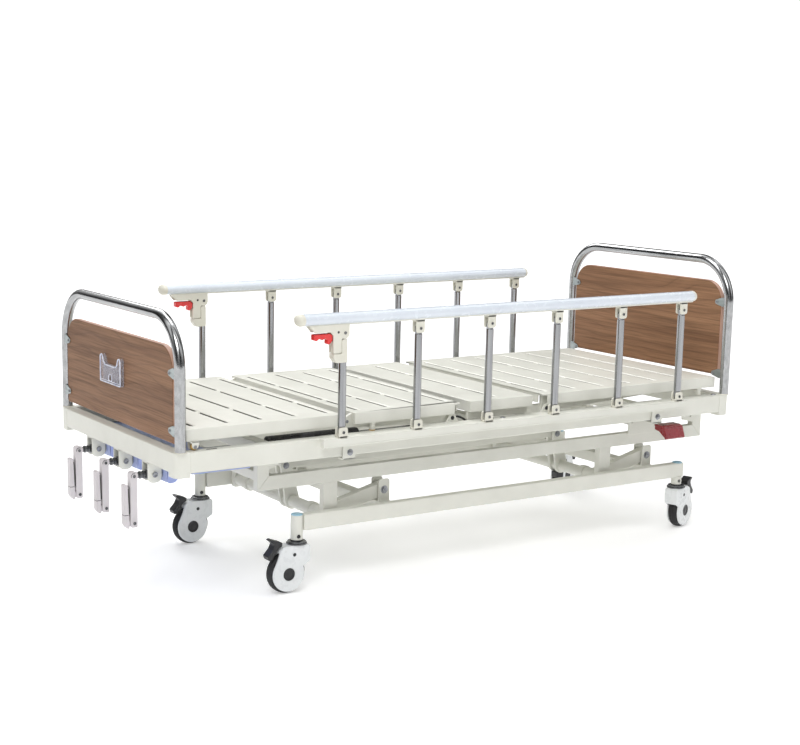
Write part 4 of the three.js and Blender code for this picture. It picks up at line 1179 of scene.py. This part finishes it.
def make_release():
    """The red pedal that frees the back section, and its cable to the gas spring."""
    outline = filleted([(-388, 402), (-424, 402), (-437, 396), (-450, 362), (-446, 357.6), (-441, 359),
                        (-430, 390), (-420, 396), (-388, 396)], [1, 5, 6, 3, 2, 3, 5, 4, 1], 4)
    shell = prism(outline, "x", 752, 836, 1.4, 3, choose=sharp)
    cheeks = [prism(filleted([(-390, 396.4), (-420, 396.4), (-431, 389), (-441, 362), (-432, 366),
                              (-412, 380), (-390, 384)], [1, 3, 4, 3, 3, 5, 2], 3), "x", x, x + 3, 0.8, 2)
              for x in (753, 832)]
    ridge = [sweep([(756, -438.6, 392), (832, -438.6, 392)], 1.0, 8)]
    lug = [block(770, 818, -402, -390, 396, 402.4, 1, 2)]
    piece("release_pedal", "cpr_lever", "dark_red_plastic", [(DARK_RED, [shell] + cheeks + ridge + lug)],
          ["cpr_lever"])
    route = [(751, -372, 414), (700, -374, 418), (600, -374, 420), (450, -374, 420), (300, -374, 420),
             (150, -374, 420), (80, -374, 422), (35, -373, 432), (4, -370, 450), (-20, -363, 474),
             (-42, -350, 490), (-58, -325, 488), (-64, -290, 474), (-66, -262, 460), (-73, -244, 452),
             (-80, -240, 450)]
    ferrules = [bar("x", 5, 735, 751, (0, -372.4, 414.6), 0.8), bar("x", 5, -84, -72, (0, -242, 450.6), 0.8)]
    piece("release_cable", "bed_frame", "cable_sheath", [(CABLE, [sweep(smooth_curve(route), 3.5, 14)]),
                                                         (ZINC, ferrules)], ["cpr_cable"])


make_base()
for caster, (cx, cy, turn) in {"foot_near": (SOCKET_X, -BASE_Y, 0), "foot_far": (SOCKET_X, BASE_Y, 0),
                               "head_near": (HEAD_X, -BASE_Y, 200), "head_far": (HEAD_X, BASE_Y,
                               200)}.items():
    make_caster(caster, cx, cy, turn)
make_lift_arm("lift_arm_foot", "lift_arm_foot", TOWERS[0])
make_lift_arm("lift_arm_head", "lift_arm_head", TOWERS[1])
make_lift_link()
make_subframe()
make_main_frame()
make_tray()
make_board("footboard", -1046.0, 861.0, 507.0, 780.0, (544, 707))
make_board("headboard", 1046.0, 946.0, 550.0, 875.0, (556, 805))
make_chart_holder()
make_deck()
for side_name, side_sign in SIDES:
    make_rail(side_name, side_sign)
for crank_name, crank_y in zip(("far", "middle", "near"), CRANK_Y):
    make_crank(crank_name, crank_y, span(f"crank_grip_{crank_name}", 0))
make_drives()
make_release()


# ---------------------------------------------------------------- floor, world and lights
FLOOR_REACH, GLOW_FROM_TO, FLOOR_GLOW = 40.0, (1.5, 7.0), (0.36, 0.70)
SKY, BACKDROP = 0.70, 1.05


def make_stage():
    """A pale floor that meets the backdrop without a line."""
    mesh = bpy.data.meshes.new("floor")
    reach = FLOOR_REACH
    mesh.from_pydata([(-reach, -reach, 0), (reach, -reach, 0), (reach, reach, 0), (-reach, reach, 0)], [],
                     [(0, 1, 2, 3)])
    floor = bpy.data.objects.new("floor", mesh)
    bpy.context.scene.collection.objects.link(floor)
    pale = coated("pale_floor", (0.88, 0.88, 0.88), (0.90, 0.90, 0.90), (0.6, 0.75), 300, 0.0001, patch=2.0,
                  Emission_Color=(1, 1, 1, 1))
    # The lamps fade with distance; the glow makes up for it, so the floor meets the backdrop without a line.
    tree = pale.node_tree
    coords, away, glow = (tree.nodes.new(kind) for kind in ("ShaderNodeTexCoord", "ShaderNodeVectorMath",
                                                            "ShaderNodeMapRange"))
    away.operation = "LENGTH"
    for socket, value in zip(("From Min", "From Max", "To Min", "To Max"), (*GLOW_FROM_TO, *FLOOR_GLOW)):
        glow.inputs[socket].default_value = value
    tree.links.new(coords.outputs["Object"], away.inputs[0])
    tree.links.new(away.outputs["Value"], glow.inputs["Value"])
    bsdf = next(n for n in tree.nodes if n.type == "BSDF_PRINCIPLED")
    tree.links.new(glow.outputs[0], bsdf.inputs["Emission Strength"])
    mesh.materials.append(pale)


def make_world():
    """A soft studio: bright overhead, with dark and light panels round the horizon for the polished metal."""
    world = bpy.data.worlds.new("studio")
    bpy.context.scene.world = world
    world.use_nodes = True
    tree = world.node_tree

    def add(kind, inputs=(), **settings):
        made = tree.nodes.new(kind)
        for key, value in settings.items():
            setattr(made, key, value)
        for socket, value in inputs:
            if isinstance(value, bpy.types.NodeSocket):
                tree.links.new(value, made.inputs[socket])
            else:
                made.inputs[socket].default_value = value
        return made

    def ramp(factor, stops):
        made = add("ShaderNodeValToRGB", [("Fac", factor)])
        while len(made.color_ramp.elements) < len(stops):
            made.color_ramp.elements.new(0.5)
        for element, (position, value) in zip(made.color_ramp.elements, stops):
            element.position, element.color = position, (value, value, value, 1)
        return made.outputs["Color"]

    split = add("ShaderNodeSeparateXYZ", [(0, add("ShaderNodeTexCoord").outputs["Generated"])])
    height = ramp(split.outputs["Z"], [(0.0, 0.34), (0.10, 0.28), (0.32, 0.50), (0.55, 1.35), (1.0, 2.1)])
    turn = add("ShaderNodeMath", [(0, split.outputs["Y"]), (1, split.outputs["X"])],
               operation="ARCTAN2").outputs[0]
    wave = add("ShaderNodeMath",
               [(0, add("ShaderNodeMath", [(0, turn), (1, 5.0)], operation="MULTIPLY").outputs[0])],
               operation="SINE").outputs[0]
    panels = add("ShaderNodeMapRange", [("Value", wave), ("From Min", -0.5), ("From Max", 0.7),
                                        ("To Min", 0.10), ("To Max", 1.3)]).outputs[0]
    sky = add("ShaderNodeMix", [(0, 1.0), (6, height), (7, panels)], data_type="RGBA",
              blend_type="MULTIPLY").outputs[2]
    light = next(n for n in tree.nodes if n.type == "BACKGROUND")
    tree.links.new(sky, light.inputs["Color"])
    light.inputs["Strength"].default_value = SKY
    seen = add("ShaderNodeBackground", [("Color", (1, 1, 1, 1)),
                                        ("Strength", BACKDROP)])
    either = add("ShaderNodeMixShader", [(0, add("ShaderNodeLightPath").outputs["Is Camera Ray"]),
                                         (1, light.outputs[0]), (2, seen.outputs[0])])
    tree.links.new(either.outputs[0], next(n for n in tree.nodes
                                           if n.type == "OUTPUT_WORLD").inputs["Surface"])


def make_light(name, location, size, power, target=(0, 0, 0.45)):
    """A round soft lamp aimed at target."""
    data = bpy.data.lights.new(name, "AREA")
    data.shape, data.size, data.energy = "DISK", size, power
    lamp = bpy.data.objects.new(name, data)
    bpy.context.scene.collection.objects.link(lamp)
    lamp.location = location
    lamp.rotation_euler = (Vector(target) - Vector(location)).to_track_quat("-Z", "Y").to_euler()


bpy.context.scene.view_settings.view_transform = "Standard"
make_stage()
make_world()
make_light("key", (-2.8, -3.4, 4.4), 2.6, 98)
make_light("fill", (3.6, -3.0, 2.6), 2.6, 12)
make_light("head", (-0.4, 0.3, 2.7), 1.4, 22, (1.0, 0, 0.6))
make_light("rim", (0.5, 4.2, 4.0), 3.0, 85)
